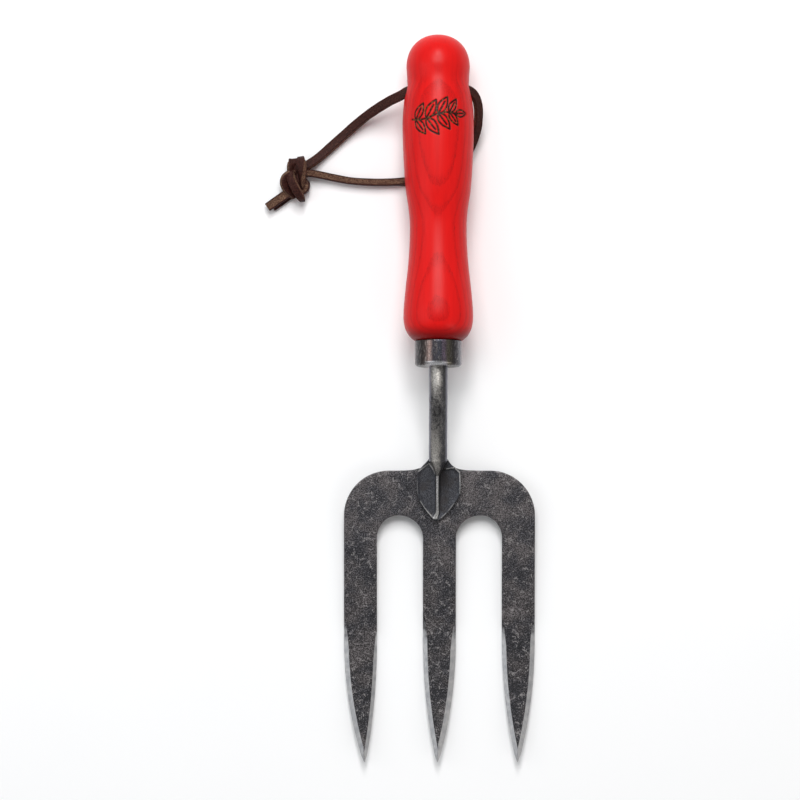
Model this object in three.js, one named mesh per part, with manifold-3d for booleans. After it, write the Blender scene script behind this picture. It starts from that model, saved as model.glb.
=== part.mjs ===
// A three-tine garden hand fork with a turned ash handle and a knotted leather lace.
// Millimetres. The fork lies on its back: +Y points to the butt of the handle, +Z up, +X right.
// The origin is on the surface that it lies on, halfway along its length.
import * as THREE from "three";
import { mergeVertices } from "three/addons/utils/BufferGeometryUtils.js";
import Module from "manifold-3d";

const wasm = await Module();
wasm.setup();

const { degToRad } = THREE.MathUtils;

// The whole tool
const OVERALL_LENGTH = 320; // from the butt of the handle to the points
const GAP = 0.3; // between pieces that touch

// Turned handle
const HANDLE_LENGTH = 134.4; // from the butt to the ferrule
const HANDLE_TILT = degToRad(4); // its axis rises towards the ferrule
const BUTT_AXIS_HEIGHT = 14.1;
const DOME_LENGTH = 14.3; // the rounded butt
const DOME_RADIUS = 13.9;
const DOME_POWER = 2.15; // a little squarer than an ellipse
const SWELLS = [
  // distance from the butt and radius, through the grip's swells and waists
  [DOME_LENGTH, DOME_RADIUS],
  [21, 13.6],
  [28.4, 14.85],
  [39, 15.6],
  [53, 15.25],
  [67, 14.35],
  [77.5, 12.9],
  [85.5, 12.4],
  [98.8, 12.95],
  [112.9, 14.45],
  [122.5, 15.2],
  [128, 14.8],
  [131.6, 13.3],
  [133.6, 11.6],
  [HANDLE_LENGTH, 10.4],
];
const HANDLE_SIDES = 32;
const SWELL_STEPS = 24;
const DOME_STEPS = 6;

// Hole across the handle for the lace
const LACE_HOLE_Y = 136; // in the tool's frame
const LACE_HOLE_RADIUS = 3;
const MOUTH_RADIUS = 4.4; // where the countersink meets the surface
const MOUTH_DEPTH = 2.2;
const HOLE_SURFACE = 14.1; // radius of the handle at the hole
const HOLE_SIDES = 16;
const CUTTER_REACH = 3; // how far a cutter runs past the surface

// Ferrule: a drawn steel cup
const FERRULE_RADIUS = 10.2;
const FERRULE_LENGTH = 11.4;
const FERRULE_WALL = 1;
const FERRULE_BOTTOM = 1.2;
const FERRULE_EDGE = 1.1; // rounding of the closed end

// Shank: a round bar, cranked, with a tang in the handle and a leaf foot on the plate
const SHANK_RADIUS = 4;
const SHANK_SIDES = 16;
const CRANK_STEPS = 16;
const TAPER_STEPS = 5;
const TANG_LENGTH = 62;
const TANG_TIP_RADIUS = 1.8;
const TANG_POINT = 8; // length of its point
const BORE_SPARE = 1; // depth left in the bore past the tang
const TANG_RADIUS = 3.5;
const CRANK_START = 18; // below the top of the ferrule
const CRANK_EASE = 11; // how gently the bar enters and leaves the crank
const LEAF_WIDTH = 19;
const LEAF_THICKNESS = 2.2;
const LEAF_SHOULDER = 5.3; // how far it reaches above the top edge of the plate
const LEAF_POINT = -22; // its point, below the top edge of the plate
const KEEL_HEIGHT = 1.8;
const KEEL_WIDTH = 1.3;
const KEEL_SHORT = 2; // the keel stops this far above the leaf's point
const TAPER_END = -2.2; // where the bar has run out into the keel

// Plate and tines
const HEAD_SLOPE = degToRad(4.5); // the plate runs down towards the tines
const HEAD_SHIFT = 0.7; // of the plate to the right of the shank that it is welded to
const HEAD_LENGTH = 129.1; // along the plate, from its top edge to the points
const HEAD_HALF_WIDTH = 42.1;
const PLATE_THICKNESS = 3;
const ARRIS = 0.3; // broken edge of the plate
const CORNER_RADIUS = 19.8;
const FLAT_LENGTH = 45; // of the crown, before the tines begin to curve
const TINE_CURVE = 400; // radius that the tines curve up to
const TINE_WIDTH = 14.5;
const TINE_SPREAD = 34.85; // from the middle tine to an outer one
const TAPER_LENGTH = 54; // of the ogive that each tine ends in
const GRIND_LENGTH = 66; // of the ground bevels
const GRIND_WIDTH = 2.2;
const GRIND_EDGE = 0.5; // half the thickness left at the ground edge
const TIP_WIDTH = 1;
const POINT_OFFSETS = [1.8, -0.9, -0.4]; // the hand-ground points, left to right
const GRIND_RUN_IN = 14; // over which a bevel reaches its full width
const POINT_LENGTH = 6; // the last of each tine thins to its point
const TINE_STEPS = 18;
const ARCH_TOP = 19.6; // of a gap, below the top edge
const ARCH_SHIFT = 0.8; // of its highest point, towards the outer tine

// Fillet welds between the shank's foot and the plate
const SIDE_WELD_LENGTH = 6.5;
const SIDE_WELD_HEIGHT = 0.7;
const BACK_WELD_WIDTH = 8;

// Leather lace
const LACE_WIDTH = 4;
const LACE_THICKNESS = 3;
const LACE_CHAMFER = 0.6;
const LACE_TURN = degToRad(27.5); // of the section at the knot, so that it lies flat under the handle
const LACE_STEPS = 64;
const LACE_ROUTE = [
  // from the knot up to the left mouth of the hole
  [-57.6, 103.5, 4.5],
  [-53.1, 106.6, 3.2],
  [-48.3, 110.8, 2.4],
  [-42.7, 115.8, 2.4],
  [-36.9, 120.9, 3.4],
  [-31.3, 125.3, 5.9],
  [-25.7, 128.8, 9.3],
  [-20.7, 131.5, 12.5],
  [-16.5, 133.4, 14.6],
  [-12.9, 135.4, 15.6],
  // through the handle
  [-8, 135.8, 15.8],
  [-2.5, 136, 15.8],
  [3, 136.2, 15.8],
  [8, 136.4, 15.8],
  // out of the right mouth, round the side and down under the handle
  [12, 136.2, 15.6],
  [14.8, 134.8, 14.8],
  [16.8, 132, 13.6],
  [17.7, 128.2, 12],
  [17.8, 124, 10.2],
  [17.3, 119.8, 8.3],
  [16.1, 115.6, 6.4],
  [14.3, 111.2, 4.6],
  [11.7, 106.6, 3.2],
  [8.5, 102.5, 2.2],
  [4.6, 99.4, 1.7],
  [0.2, 97.5, 1.6],
  // along the surface, back to the knot
  [-8.1, 96.5, 1.6],
  [-16.7, 96.4, 1.6],
  [-27.3, 96.2, 1.6],
  [-38.1, 96.8, 1.6],
  [-44.5, 97.9, 1.7],
  [-49.9, 99, 2.4],
  [-56.4, 100.1, 3.7],
];
const KNOT_CENTRE = [-63.1, 98.2, 5.4];
const KNOT_HALF_SIZE = [6.2, 9.8, 5.3];
const TAIL_START = [-66.5, 93, 3.2];
const TAIL_END = [-75.9, 84.8, 2.2];
const TAIL_HALF_WIDTH = 2.1;
const TAIL_HALF_HEIGHT = 2;

const COLOURS = {
  paint: [0xd01c20, 0.25, 0],
  steel: [0x7d7b78, 0.42, 0.9],
  scale: [0x3d3c3c, 0.6, 0.8],
  ferrule: [0x46423f, 0.3, 0.9],
  leather: [0x3c2420, 0.75, 0],
};

// ---------- helpers ----------

const tool = new THREE.Group();

function mesh(name, geometry, [color, roughness, metalness], parent = tool) {
  const material = new THREE.MeshStandardMaterial({ color, roughness, metalness });
  const made = new THREE.Mesh(geometry, material);
  made.name = name;
  parent.add(made);
  return made;
}

// A geometry as a solid for cutting and joining, moved by the matrix if there is one.
function solid(geometry, matrix = new THREE.Matrix4()) {
  const g = geometry.clone().applyMatrix4(matrix);
  g.deleteAttribute("normal");
  g.deleteAttribute("uv");
  const merged = mergeVertices(g, 1e-4);
  return new wasm.Manifold(
    new wasm.Mesh({
      numProp: 3,
      vertProperties: merged.attributes.position.array,
      triVerts: new Uint32Array(merged.index.array),
    }),
  );
}

function geometryOf(manifold) {
  const m = manifold.getMesh();
  const g = new THREE.BufferGeometry();
  g.setAttribute("position", new THREE.BufferAttribute(m.vertProperties, 3));
  g.setIndex(new THREE.BufferAttribute(m.triVerts, 1));
  const flat = g.toNonIndexed();
  flat.computeVertexNormals();
  return flat;
}

// A closed skin over rings of points that all turn the same way, with flat ends.
function loft(rings) {
  const sides = rings[0].length;
  const points = rings.flat();
  const index = [];
  for (let r = 0; r + 1 < rings.length; r++)
    for (let i = 0; i < sides; i++) {
      const a = r * sides + i;
      const b = r * sides + ((i + 1) % sides);
      index.push(a, b, b + sides, a, b + sides, a + sides);
    }
  const last = (rings.length - 1) * sides;
  for (let i = 1; i + 1 < sides; i++) {
    index.push(0, i + 1, i);
    index.push(last, last + i, last + i + 1);
  }
  const g = new THREE.BufferGeometry().setFromPoints(points);
  g.setIndex(index);
  return g;
}

function placed(x, y, z, rx = 0, ry = 0, rz = 0) {
  const turn = new THREE.Quaternion().setFromEuler(new THREE.Euler(rx, ry, rz));
  return new THREE.Matrix4().compose(new THREE.Vector3(x, y, z), turn, new THREE.Vector3(1, 1, 1));
}

// ---------- frames of the two halves ----------

// Handle frame: origin on the axis at the top of the ferrule, +Y along the axis to the butt.
const handleFrame = new THREE.Group();
handleFrame.rotation.x = -HANDLE_TILT;
handleFrame.position.set(
  0,
  OVERALL_LENGTH / 2 - HANDLE_LENGTH * Math.cos(HANDLE_TILT),
  BUTT_AXIS_HEIGHT + HANDLE_LENGTH * Math.sin(HANDLE_TILT),
);

// Midplane of the plate: y down from the top edge is negative, z rises where the tines curve.
function plateLine(along) {
  if (along <= FLAT_LENGTH) return [-along, 0];
  const turn = (along - FLAT_LENGTH) / TINE_CURVE;
  return [-FLAT_LENGTH - TINE_CURVE * Math.sin(turn), TINE_CURVE * (1 - Math.cos(turn))];
}

// Head frame: origin at the middle of the plate's top edge. The belly rests on the surface,
// where the slope of the plate and the curve of the tines cancel.
const headFrame = new THREE.Group();
headFrame.rotation.x = HEAD_SLOPE;
const [tipY, tipZ] = plateLine(HEAD_LENGTH);
const bellyDrop = FLAT_LENGTH * Math.sin(HEAD_SLOPE) + TINE_CURVE * (1 - Math.cos(HEAD_SLOPE));
headFrame.position.set(
  0,
  -OVERALL_LENGTH / 2 - tipY * Math.cos(HEAD_SLOPE) + tipZ * Math.sin(HEAD_SLOPE),
  PLATE_THICKNESS / 2 + bellyDrop,
);
tool.add(handleFrame, headFrame);
tool.updateMatrixWorld(true);

const inHandle = (y, z = 0) => new THREE.Vector3(0, y, z).applyMatrix4(handleFrame.matrixWorld);
const inHead = (y, z = 0) => new THREE.Vector3(0, y, z).applyMatrix4(headFrame.matrixWorld);

// ---------- handle ----------

function handleProfile() {
  const neck = FERRULE_RADIUS - FERRULE_WALL - GAP;
  const neckEnd = -(FERRULE_LENGTH - FERRULE_BOTTOM - GAP);
  const bore = TANG_RADIUS + GAP;
  const points = [
    new THREE.Vector2(0, TANG_LENGTH + BORE_SPARE),
    new THREE.Vector2(TANG_TIP_RADIUS + GAP, TANG_LENGTH + BORE_SPARE),
    new THREE.Vector2(bore, TANG_LENGTH - TANG_POINT),
    new THREE.Vector2(bore, neckEnd),
    new THREE.Vector2(neck, neckEnd),
    new THREE.Vector2(neck, 0),
  ];
  const swells = new THREE.SplineCurve(SWELLS.map(([t, r]) => new THREE.Vector2(r, HANDLE_LENGTH - t)));
  points.push(...swells.getSpacedPoints(SWELL_STEPS).reverse());
  for (let i = 1; i <= DOME_STEPS; i++) {
    const reach = Math.sin((i / DOME_STEPS) * (Math.PI / 2));
    const radius = DOME_RADIUS * (1 - reach ** DOME_POWER) ** (1 / DOME_POWER);
    const y = HANDLE_LENGTH - DOME_LENGTH * (1 - reach);
    points.push(new THREE.Vector2(i === DOME_STEPS ? 0 : radius, y));
  }
  return points;
}

function buildHandle() {
  const holeAlong = (LACE_HOLE_Y - handleFrame.position.y) / Math.cos(HANDLE_TILT);
  const across = placed(0, holeAlong, 0, 0, 0, Math.PI / 2);
  const through = 2 * (HOLE_SURFACE + 2 * CUTTER_REACH);
  const hole = new THREE.CylinderGeometry(LACE_HOLE_RADIUS, LACE_HOLE_RADIUS, through, HOLE_SIDES);
  let handle = solid(new THREE.LatheGeometry(handleProfile(), HANDLE_SIDES));
  handle = handle.subtract(solid(hole, across));
  const coneLength = MOUTH_DEPTH + CUTTER_REACH;
  const flare = (MOUTH_RADIUS - LACE_HOLE_RADIUS) / MOUTH_DEPTH;
  const wide = LACE_HOLE_RADIUS + flare * coneLength;
  const cone = new THREE.CylinderGeometry(wide, LACE_HOLE_RADIUS, coneLength, HOLE_SIDES);
  const middle = HOLE_SURFACE + (CUTTER_REACH - MOUTH_DEPTH) / 2;
  for (const side of [-1, 1]) {
    const outward = placed(side * middle, holeAlong, 0, 0, 0, -side * (Math.PI / 2));
    handle = handle.subtract(solid(cone, outward));
  }
  mesh("handle", geometryOf(handle), COLOURS.paint, handleFrame);
}

// ---------- ferrule ----------

function buildFerrule() {
  const hole = SHANK_RADIUS + GAP;
  const inner = FERRULE_RADIUS - FERRULE_WALL;
  const outline = new THREE.Shape();
  outline.moveTo(inner, -GAP);
  outline.lineTo(inner, FERRULE_BOTTOM - FERRULE_LENGTH);
  outline.lineTo(hole, FERRULE_BOTTOM - FERRULE_LENGTH);
  outline.lineTo(hole, -FERRULE_LENGTH);
  const edgeY = FERRULE_EDGE - FERRULE_LENGTH;
  outline.absarc(FERRULE_RADIUS - FERRULE_EDGE, edgeY, FERRULE_EDGE, -Math.PI / 2, 0);
  outline.lineTo(FERRULE_RADIUS, -GAP);
  outline.closePath();
  const profile = outline.getPoints(4);
  mesh("ferrule", new THREE.LatheGeometry(profile, HANDLE_SIDES), COLOURS.ferrule, handleFrame);
}

// ---------- shank ----------

// One round section of the bar: centre, the direction that the bar runs in, and radii.
function section(centre, direction, half, high) {
  const side = new THREE.Vector3(1, 0, 0);
  const up = new THREE.Vector3().crossVectors(direction, side).normalize();
  const ring = [];
  for (let i = 0; i < SHANK_SIDES; i++) {
    const a = (2 * Math.PI * i) / SHANK_SIDES;
    const out = centre.clone().addScaledVector(side, half * Math.cos(a));
    ring.push(out.addScaledVector(up, high * Math.sin(a)));
  }
  return ring;
}

// The bar from the point of its tang to the keel on the plate, in the tool's frame.
function shankRings() {
  const rings = [];
  const down = inHandle(-1).sub(inHandle(0));
  const tang = [
    [TANG_LENGTH, TANG_TIP_RADIUS],
    [TANG_LENGTH - TANG_POINT, TANG_RADIUS - 1],
    [2, TANG_RADIUS],
    [FERRULE_BOTTOM - FERRULE_LENGTH, TANG_RADIUS],
    [FERRULE_BOTTOM - FERRULE_LENGTH - GAP, SHANK_RADIUS],
  ];
  for (const [y, r] of tang) rings.push(section(inHandle(y), down, r, r));

  const alongPlate = inHead(-1).sub(inHead(0));
  const rest = PLATE_THICKNESS / 2 + GAP;
  const start = inHandle(-CRANK_START);
  const end = inHead(LEAF_SHOULDER, rest + SHANK_RADIUS);
  const crank = new THREE.CubicBezierCurve3(
    start,
    start.clone().addScaledVector(down, CRANK_EASE),
    end.clone().addScaledVector(alongPlate, -CRANK_EASE),
    end,
  );
  for (let i = 0; i <= CRANK_STEPS; i++) {
    const t = i / CRANK_STEPS;
    rings.push(section(crank.getPointAt(t), crank.getTangentAt(t), SHANK_RADIUS, SHANK_RADIUS));
  }

  // The bar runs out into the keel: its top falls and its sides close in.
  const keelTop = LEAF_THICKNESS + KEEL_HEIGHT;
  for (let i = 1; i <= TAPER_STEPS; i++) {
    const t = i / TAPER_STEPS;
    const y = THREE.MathUtils.lerp(LEAF_SHOULDER, TAPER_END, t);
    const half = THREE.MathUtils.lerp(SHANK_RADIUS, KEEL_WIDTH / 2, t ** 0.8);
    const high = THREE.MathUtils.lerp(SHANK_RADIUS, keelTop / 2, t);
    rings.push(section(inHead(y, rest + high), alongPlate, half, high));
  }
  const keelEnd = inHead(LEAF_POINT + KEEL_SHORT, rest + keelTop / 2);
  rings.push(section(keelEnd, alongPlate, KEEL_WIDTH / 2, keelTop / 2));
  return rings;
}

function leafOutline() {
  const half = LEAF_WIDTH / 2;
  const bar = SHANK_RADIUS - 0.2;
  const leaf = new THREE.Shape();
  leaf.moveTo(-bar, LEAF_SHOULDER);
  leaf.lineTo(-half, -0.5);
  leaf.lineTo(-half, -12);
  leaf.quadraticCurveTo(-half + 0.6, -15.5, 0, LEAF_POINT);
  leaf.quadraticCurveTo(half - 0.6, -15.5, half, -12);
  leaf.lineTo(half, -0.5);
  leaf.quadraticCurveTo(bar + 1.4, 1.2, bar, LEAF_SHOULDER);
  leaf.closePath();
  return leaf;
}

function buildShank() {
  const leaf = new THREE.ExtrudeGeometry(leafOutline(), {
    depth: LEAF_THICKNESS,
    bevelEnabled: false,
    curveSegments: 6,
  });
  const onPlate = headFrame.matrixWorld.clone().multiply(placed(0, 0, PLATE_THICKNESS / 2 + GAP));
  const shank = solid(loft(shankRings())).add(solid(leaf, onPlate));
  mesh("shank", geometryOf(shank), COLOURS.steel);
}

// ---------- plate and tines ----------

function crownOutline() {
  const side = HEAD_HALF_WIDTH - CORNER_RADIUS;
  const tine = TINE_WIDTH / 2;
  const end = -FLAT_LENGTH;
  const crown = new THREE.Shape();
  crown.moveTo(-side, 0);
  crown.absarc(-side, -CORNER_RADIUS, CORNER_RADIUS, Math.PI / 2, Math.PI);
  crown.lineTo(-HEAD_HALF_WIDTH, end);
  crown.lineTo(-TINE_SPREAD + tine, end);
  addGap(crown, -1);
  crown.lineTo(-tine, end);
  crown.lineTo(tine, end);
  addGap(crown, 1);
  crown.lineTo(TINE_SPREAD - tine, end);
  crown.lineTo(HEAD_HALF_WIDTH, end);
  crown.absarc(side, -CORNER_RADIUS, CORNER_RADIUS, 0, Math.PI / 2);
  crown.closePath();
  return crown;
}

// The arch over a gap, drawn from left to right: two quarter ellipses that meet a little
// towards the outer tine.
function addGap(crown, side) {
  const width = TINE_SPREAD - TINE_WIDTH;
  const arch = width / 2;
  const middle = side * (TINE_SPREAD / 2);
  const top = middle + side * ARCH_SHIFT;
  const spring = -ARCH_TOP - arch;
  crown.lineTo(middle - arch, spring);
  crown.absellipse(top, spring, top - (middle - arch), arch, Math.PI, Math.PI / 2, true);
  crown.absellipse(top, spring, middle + arch - top, arch, Math.PI / 2, 0, true);
}

// Half the width of a tine at a distance from its point: full, then an ogive.
function tineHalfWidth(fromTip) {
  const full = TINE_WIDTH / 2;
  if (fromTip >= TAPER_LENGTH) return full;
  return TIP_WIDTH / 2 + (full - TIP_WIDTH / 2) * (1 - (1 - fromTip / TAPER_LENGTH) ** 2);
}

function tineRings(centre, offset) {
  const rings = [];
  const half = PLATE_THICKNESS / 2;
  const root = FLAT_LENGTH - 1; // a tine starts inside the crown
  for (let i = 0; i <= TINE_STEPS + 1; i++) {
    const part = (i - 1) / TINE_STEPS;
    const along = i === 0 ? root : THREE.MathUtils.lerp(FLAT_LENGTH, HEAD_LENGTH, part);
    const fromTip = HEAD_LENGTH - along;
    const wide = tineHalfWidth(fromTip);
    const ground = THREE.MathUtils.smoothstep(GRIND_LENGTH - fromTip, 0, GRIND_RUN_IN);
    const bevel = Math.min(ARRIS + (GRIND_WIDTH - ARRIS) * ground, wide * 0.8);
    const edge = THREE.MathUtils.lerp(half - ARRIS, GRIND_EDGE, ground);
    const sharp = Math.min(1, fromTip / POINT_LENGTH);
    const thin = THREE.MathUtils.lerp(GRIND_EDGE + 0.2, half, sharp);
    const drift = offset * (1 - Math.min(1, fromTip / TAPER_LENGTH)) ** 2;
    const [y, z] = plateLine(along);
    const at = (x, up) => new THREE.Vector3(centre + drift + x, y, z + up);
    rings.push([
      at(wide - bevel, thin),
      at(bevel - wide, thin),
      at(-wide, edge),
      at(-wide, -edge),
      at(bevel - wide, -thin),
      at(wide - bevel, -thin),
      at(wide, -edge),
      at(wide, edge),
    ]);
  }
  return rings;
}

function buildHead() {
  const crown = new THREE.ExtrudeGeometry(crownOutline(), {
    depth: PLATE_THICKNESS - 2 * ARRIS,
    bevelThickness: ARRIS,
    bevelSize: ARRIS,
    bevelOffset: -ARRIS,
    bevelSegments: 1,
    curveSegments: 9,
  });
  let head = solid(crown, placed(HEAD_SHIFT, 0, ARRIS - PLATE_THICKNESS / 2));
  POINT_OFFSETS.forEach((offset, i) => {
    const centre = HEAD_SHIFT + (i - 1) * TINE_SPREAD;
    head = head.add(solid(loft(tineRings(centre, offset))));
  });
  mesh("fork_head", geometryOf(head), COLOURS.scale, headFrame);
}

// ---------- welds ----------

// A fillet of weld metal on the plate's top edge, beside the leaf's shoulder.
function buildSideWeld(name, side) {
  const near = side * (LEAF_WIDTH / 2 + GAP);
  const far = near + side * SIDE_WELD_LENGTH;
  const fillet = new THREE.Shape();
  fillet.moveTo(near, GAP);
  fillet.lineTo(near, GAP + SIDE_WELD_HEIGHT);
  fillet.quadraticCurveTo(near + side * 2, GAP + 0.3, far, GAP + 0.15);
  fillet.lineTo(far, GAP);
  fillet.closePath();
  const bead = new THREE.ExtrudeGeometry(fillet, {
    depth: PLATE_THICKNESS,
    bevelEnabled: false,
    curveSegments: 6,
  });
  bead.translate(0, 0, -PLATE_THICKNESS / 2);
  mesh(name, bead, COLOURS.steel, headFrame);
}

// The fillet behind: in the corner between the back of the leaf and the plate's top edge.
function buildBackWeld() {
  const top = PLATE_THICKNESS / 2;
  const reach = LEAF_SHOULDER - GAP;
  const bottom = GAP - PLATE_THICKNESS / 2;
  const fillet = new THREE.Shape();
  fillet.moveTo(GAP, top);
  fillet.lineTo(GAP, bottom);
  fillet.quadraticCurveTo(GAP + 1.4, top - 1.4, reach, top);
  fillet.closePath();
  const bead = new THREE.ExtrudeGeometry(fillet, {
    depth: BACK_WELD_WIDTH,
    bevelEnabled: false,
    curveSegments: 6,
  });
  bead.rotateX(Math.PI / 2);
  bead.rotateZ(Math.PI / 2);
  bead.translate(-BACK_WELD_WIDTH / 2, 0, 0);
  mesh("weld_back", bead, COLOURS.steel, headFrame);
}

// ---------- lace ----------

function laceSection() {
  const x = LACE_THICKNESS / 2;
  const y = LACE_WIDTH / 2;
  const c = LACE_CHAMFER;
  const corners = [
    [x, c - y],
    [x, y - c],
    [x - c, y],
    [c - x, y],
    [-x, y - c],
    [-x, c - y],
    [c - x, -y],
    [x - c, -y],
  ];
  const middle = new THREE.Vector2();
  return new THREE.Shape(corners.map(([a, b]) => new THREE.Vector2(a, b).rotateAround(middle, LACE_TURN)));
}

function buildLace() {
  const route = new THREE.CatmullRomCurve3(LACE_ROUTE.map((p) => new THREE.Vector3(...p)));
  const lace = new THREE.ExtrudeGeometry(laceSection(), { steps: LACE_STEPS, extrudePath: route });
  mesh("lace", lace, COLOURS.leather);
}

// The outer shape of the knot and of the two tails that leave it side by side.
function buildKnot() {
  const body = new THREE.SphereGeometry(1, 16, 10);
  body.scale(...KNOT_HALF_SIZE);
  body.translate(...KNOT_CENTRE);
  const start = new THREE.Vector3(...TAIL_START);
  const end = new THREE.Vector3(...TAIL_END);
  const along = end.clone().sub(start).normalize();
  const across = new THREE.Vector3(-along.y, along.x, 0).normalize();
  const corners = [
    [-1, -1],
    [1, -1],
    [1, 1],
    [-1, 1],
  ];
  const ringAt = (p) =>
    corners.map(([a, b]) =>
      p
        .clone()
        .addScaledVector(across, a * TAIL_HALF_WIDTH)
        .add(new THREE.Vector3(0, 0, b * TAIL_HALF_HEIGHT)),
    );
  const tails = loft([ringAt(start), ringAt(end)]);
  mesh("lace_knot", geometryOf(solid(body).add(solid(tails))), COLOURS.leather);
}

buildHandle();
buildFerrule();
buildShank();
buildHead();
buildSideWeld("weld_left", -1);
buildSideWeld("weld_right", 1);
buildBackWeld();
buildLace();
buildKnot();

export default tool;
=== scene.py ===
"""A three-tine garden hand fork: lacquered turned handle, drawn ferrule, forged shank with a
leaf foot, pressed plate with ground points, and a leather lace with an overhand knot.
Metres. +Y points to the butt of the handle, +Z up, +X right."""

import math

import bpy
import numpy as np
from mathutils import Matrix, Vector
from mathutils.geometry import delaunay_2d_cdt


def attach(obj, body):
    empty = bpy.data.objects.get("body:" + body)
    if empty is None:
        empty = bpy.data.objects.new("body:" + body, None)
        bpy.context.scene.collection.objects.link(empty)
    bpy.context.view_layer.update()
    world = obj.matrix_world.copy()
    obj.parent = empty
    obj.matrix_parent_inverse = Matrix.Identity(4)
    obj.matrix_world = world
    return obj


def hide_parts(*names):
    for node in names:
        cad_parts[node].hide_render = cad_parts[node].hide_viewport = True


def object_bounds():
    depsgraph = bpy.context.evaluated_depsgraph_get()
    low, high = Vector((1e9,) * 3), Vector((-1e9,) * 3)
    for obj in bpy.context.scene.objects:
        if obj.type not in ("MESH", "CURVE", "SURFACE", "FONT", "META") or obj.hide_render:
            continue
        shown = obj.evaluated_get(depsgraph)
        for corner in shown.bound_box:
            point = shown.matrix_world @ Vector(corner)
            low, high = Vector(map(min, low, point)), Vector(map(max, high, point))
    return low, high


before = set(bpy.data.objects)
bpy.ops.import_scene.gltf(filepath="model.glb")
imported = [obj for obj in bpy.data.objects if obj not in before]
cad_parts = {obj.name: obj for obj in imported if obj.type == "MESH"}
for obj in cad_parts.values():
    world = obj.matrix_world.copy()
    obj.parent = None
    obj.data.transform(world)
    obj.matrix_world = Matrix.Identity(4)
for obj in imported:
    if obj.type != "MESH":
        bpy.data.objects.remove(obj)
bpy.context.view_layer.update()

MM = 0.001
TENTHS = 10000  # tenths of a millimetre in a metre


def metres(rows, unit=TENTHS):
    """Rows of lengths in metres, from rows of whole numbers of a smaller unit."""
    return [tuple(value / unit for value in row) for row in rows]


# ---------- dimensions shared with the CAD ----------

OVERALL_LENGTH = 0.320
GAP = 0.0003

HANDLE_LENGTH = 0.1344
HANDLE_TILT = math.radians(4)
BUTT_AXIS_HEIGHT = 0.0141
DOME_LENGTH = 0.0143
DOME_RADIUS = 0.0139
DOME_POWER = 2.15
SWELLS = [
    (DOME_LENGTH, DOME_RADIUS),
    (0.021, 0.0136),
    (0.0284, 0.01485),
    (0.039, 0.0156),
    (0.053, 0.01525),
    (0.067, 0.01435),
    (0.0775, 0.0129),
    (0.0855, 0.0124),
    (0.0988, 0.01295),
    (0.1129, 0.01445),
    (0.1225, 0.0152),
    (0.128, 0.0148),
    (0.1316, 0.0133),
    (0.1336, 0.0116),
    (HANDLE_LENGTH, 0.0104),
]
LACE_HOLE_Y = 0.136
LACE_HOLE_RADIUS = 0.003
MOUTH_RADIUS = 0.0044
MOUTH_DEPTH = 0.0022

FERRULE_RADIUS = 0.0102
FERRULE_LENGTH = 0.0114
FERRULE_WALL = 0.001
FERRULE_BOTTOM = 0.0012
FERRULE_EDGE = 0.0011

SHANK_RADIUS = 0.004
CRANK_START = 0.018
CRANK_EASE = 0.011
LEAF_THICKNESS = 0.0022
LEAF_SHOULDER = 0.0053
KEEL_HEIGHT = 0.0018
TAPER_END = -0.0022

HEAD_SLOPE = math.radians(4.5)
HEAD_SHIFT = 0.0007
HEAD_LENGTH = 0.1291
HEAD_HALF_WIDTH = 0.0421
PLATE_THICKNESS = 0.003
ARRIS = 0.0003
CORNER_RADIUS = 0.0198
FLAT_LENGTH = 0.045
TINE_CURVE = 0.400
TINE_WIDTH = 0.0145
TINE_SPREAD = 0.03485
TAPER_LENGTH = 0.054
GRIND_EDGE = 0.0005
TIP_WIDTH = 0.001
POINT_OFFSETS = (0.0018, -0.0009, -0.0004)
ARCH_TOP = 0.0196
ARCH_SHIFT = 0.0008

LACE_ROUTE = metres(
    [
        # from the knot up to the left mouth of the hole
        (-576, 1035, 45), (-531, 1066, 32), (-483, 1108, 24), (-427, 1158, 24), (-369, 1209, 34),
        (-313, 1253, 59), (-257, 1288, 93), (-207, 1315, 125), (-165, 1334, 146),
        (-129, 1354, 156),
        # through the handle
        (-80, 1358, 158), (-25, 1360, 158), (30, 1362, 158), (80, 1364, 158),
        # out of the right mouth, round the side and down under the handle
        (120, 1362, 156), (148, 1348, 148), (168, 1320, 136), (177, 1282, 120), (178, 1240, 102),
        (173, 1198, 83), (161, 1156, 64), (143, 1112, 46), (117, 1066, 32), (85, 1025, 22),
        (46, 994, 17), (2, 975, 16),
        # along the surface, back to the knot
        (-81, 965, 16), (-167, 964, 16), (-273, 962, 16), (-381, 968, 16), (-445, 979, 17),
        (-499, 990, 24), (-564, 1001, 37),
    ]
)
HOLE_MIDDLE = 12  # the route's point just past the middle of the hole

# ---------- dimensions of the finish ----------

KEEL_WIDTH = 0.00105  # narrower than in the CAD
LACE_WIDTH = 0.0041
LACE_THICKNESS = 0.0031
LACE_CORNER = 0.0004
LACE_STEPS = 8  # of each span of the route
KNOT_STEPS = 10
END_ROUNDING = 0.00022
FLOOR_CLEARANCE = 0.00003  # of the lace over the surface

# ---------- camera, light and floor ----------

VIEW_X = -0.0167
VIEW_WIDTH = 0.3494
VIEW_PLANE = 0.020
CAMERA_DISTANCE = 1.5
SENSOR = 36


# name, place, size, power and colour of each softbox
LIGHTS = [
    ("key", (-0.05, 0.75, 1.40), (0.85, 0.65), 15.0, (1.0, 1.0, 1.0)),
    ("glint", (0.0, 1.10, 1.08), (0.28, 0.28), 6.0, (1.0, 1.0, 1.0)),
    ("left", (-1.05, 0.10, 0.95), (0.7, 1.2), 3.4, (0.92, 0.96, 1.0)),
    ("right", (1.00, -0.65, 0.85), (0.5, 1.0), 2.2, (1.0, 0.97, 0.94)),
]
SKY = [(0.0, 0.40), (0.55, 0.38), (0.85, 0.26), (0.99, 0.12)]  # height, level
SKY_COLOUR = (0.98, 0.99, 1)
FLOOR_HALF_SIZE = 3.0
FLOOR_DROP = 0.00005  # of the floor below the lowest point


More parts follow.
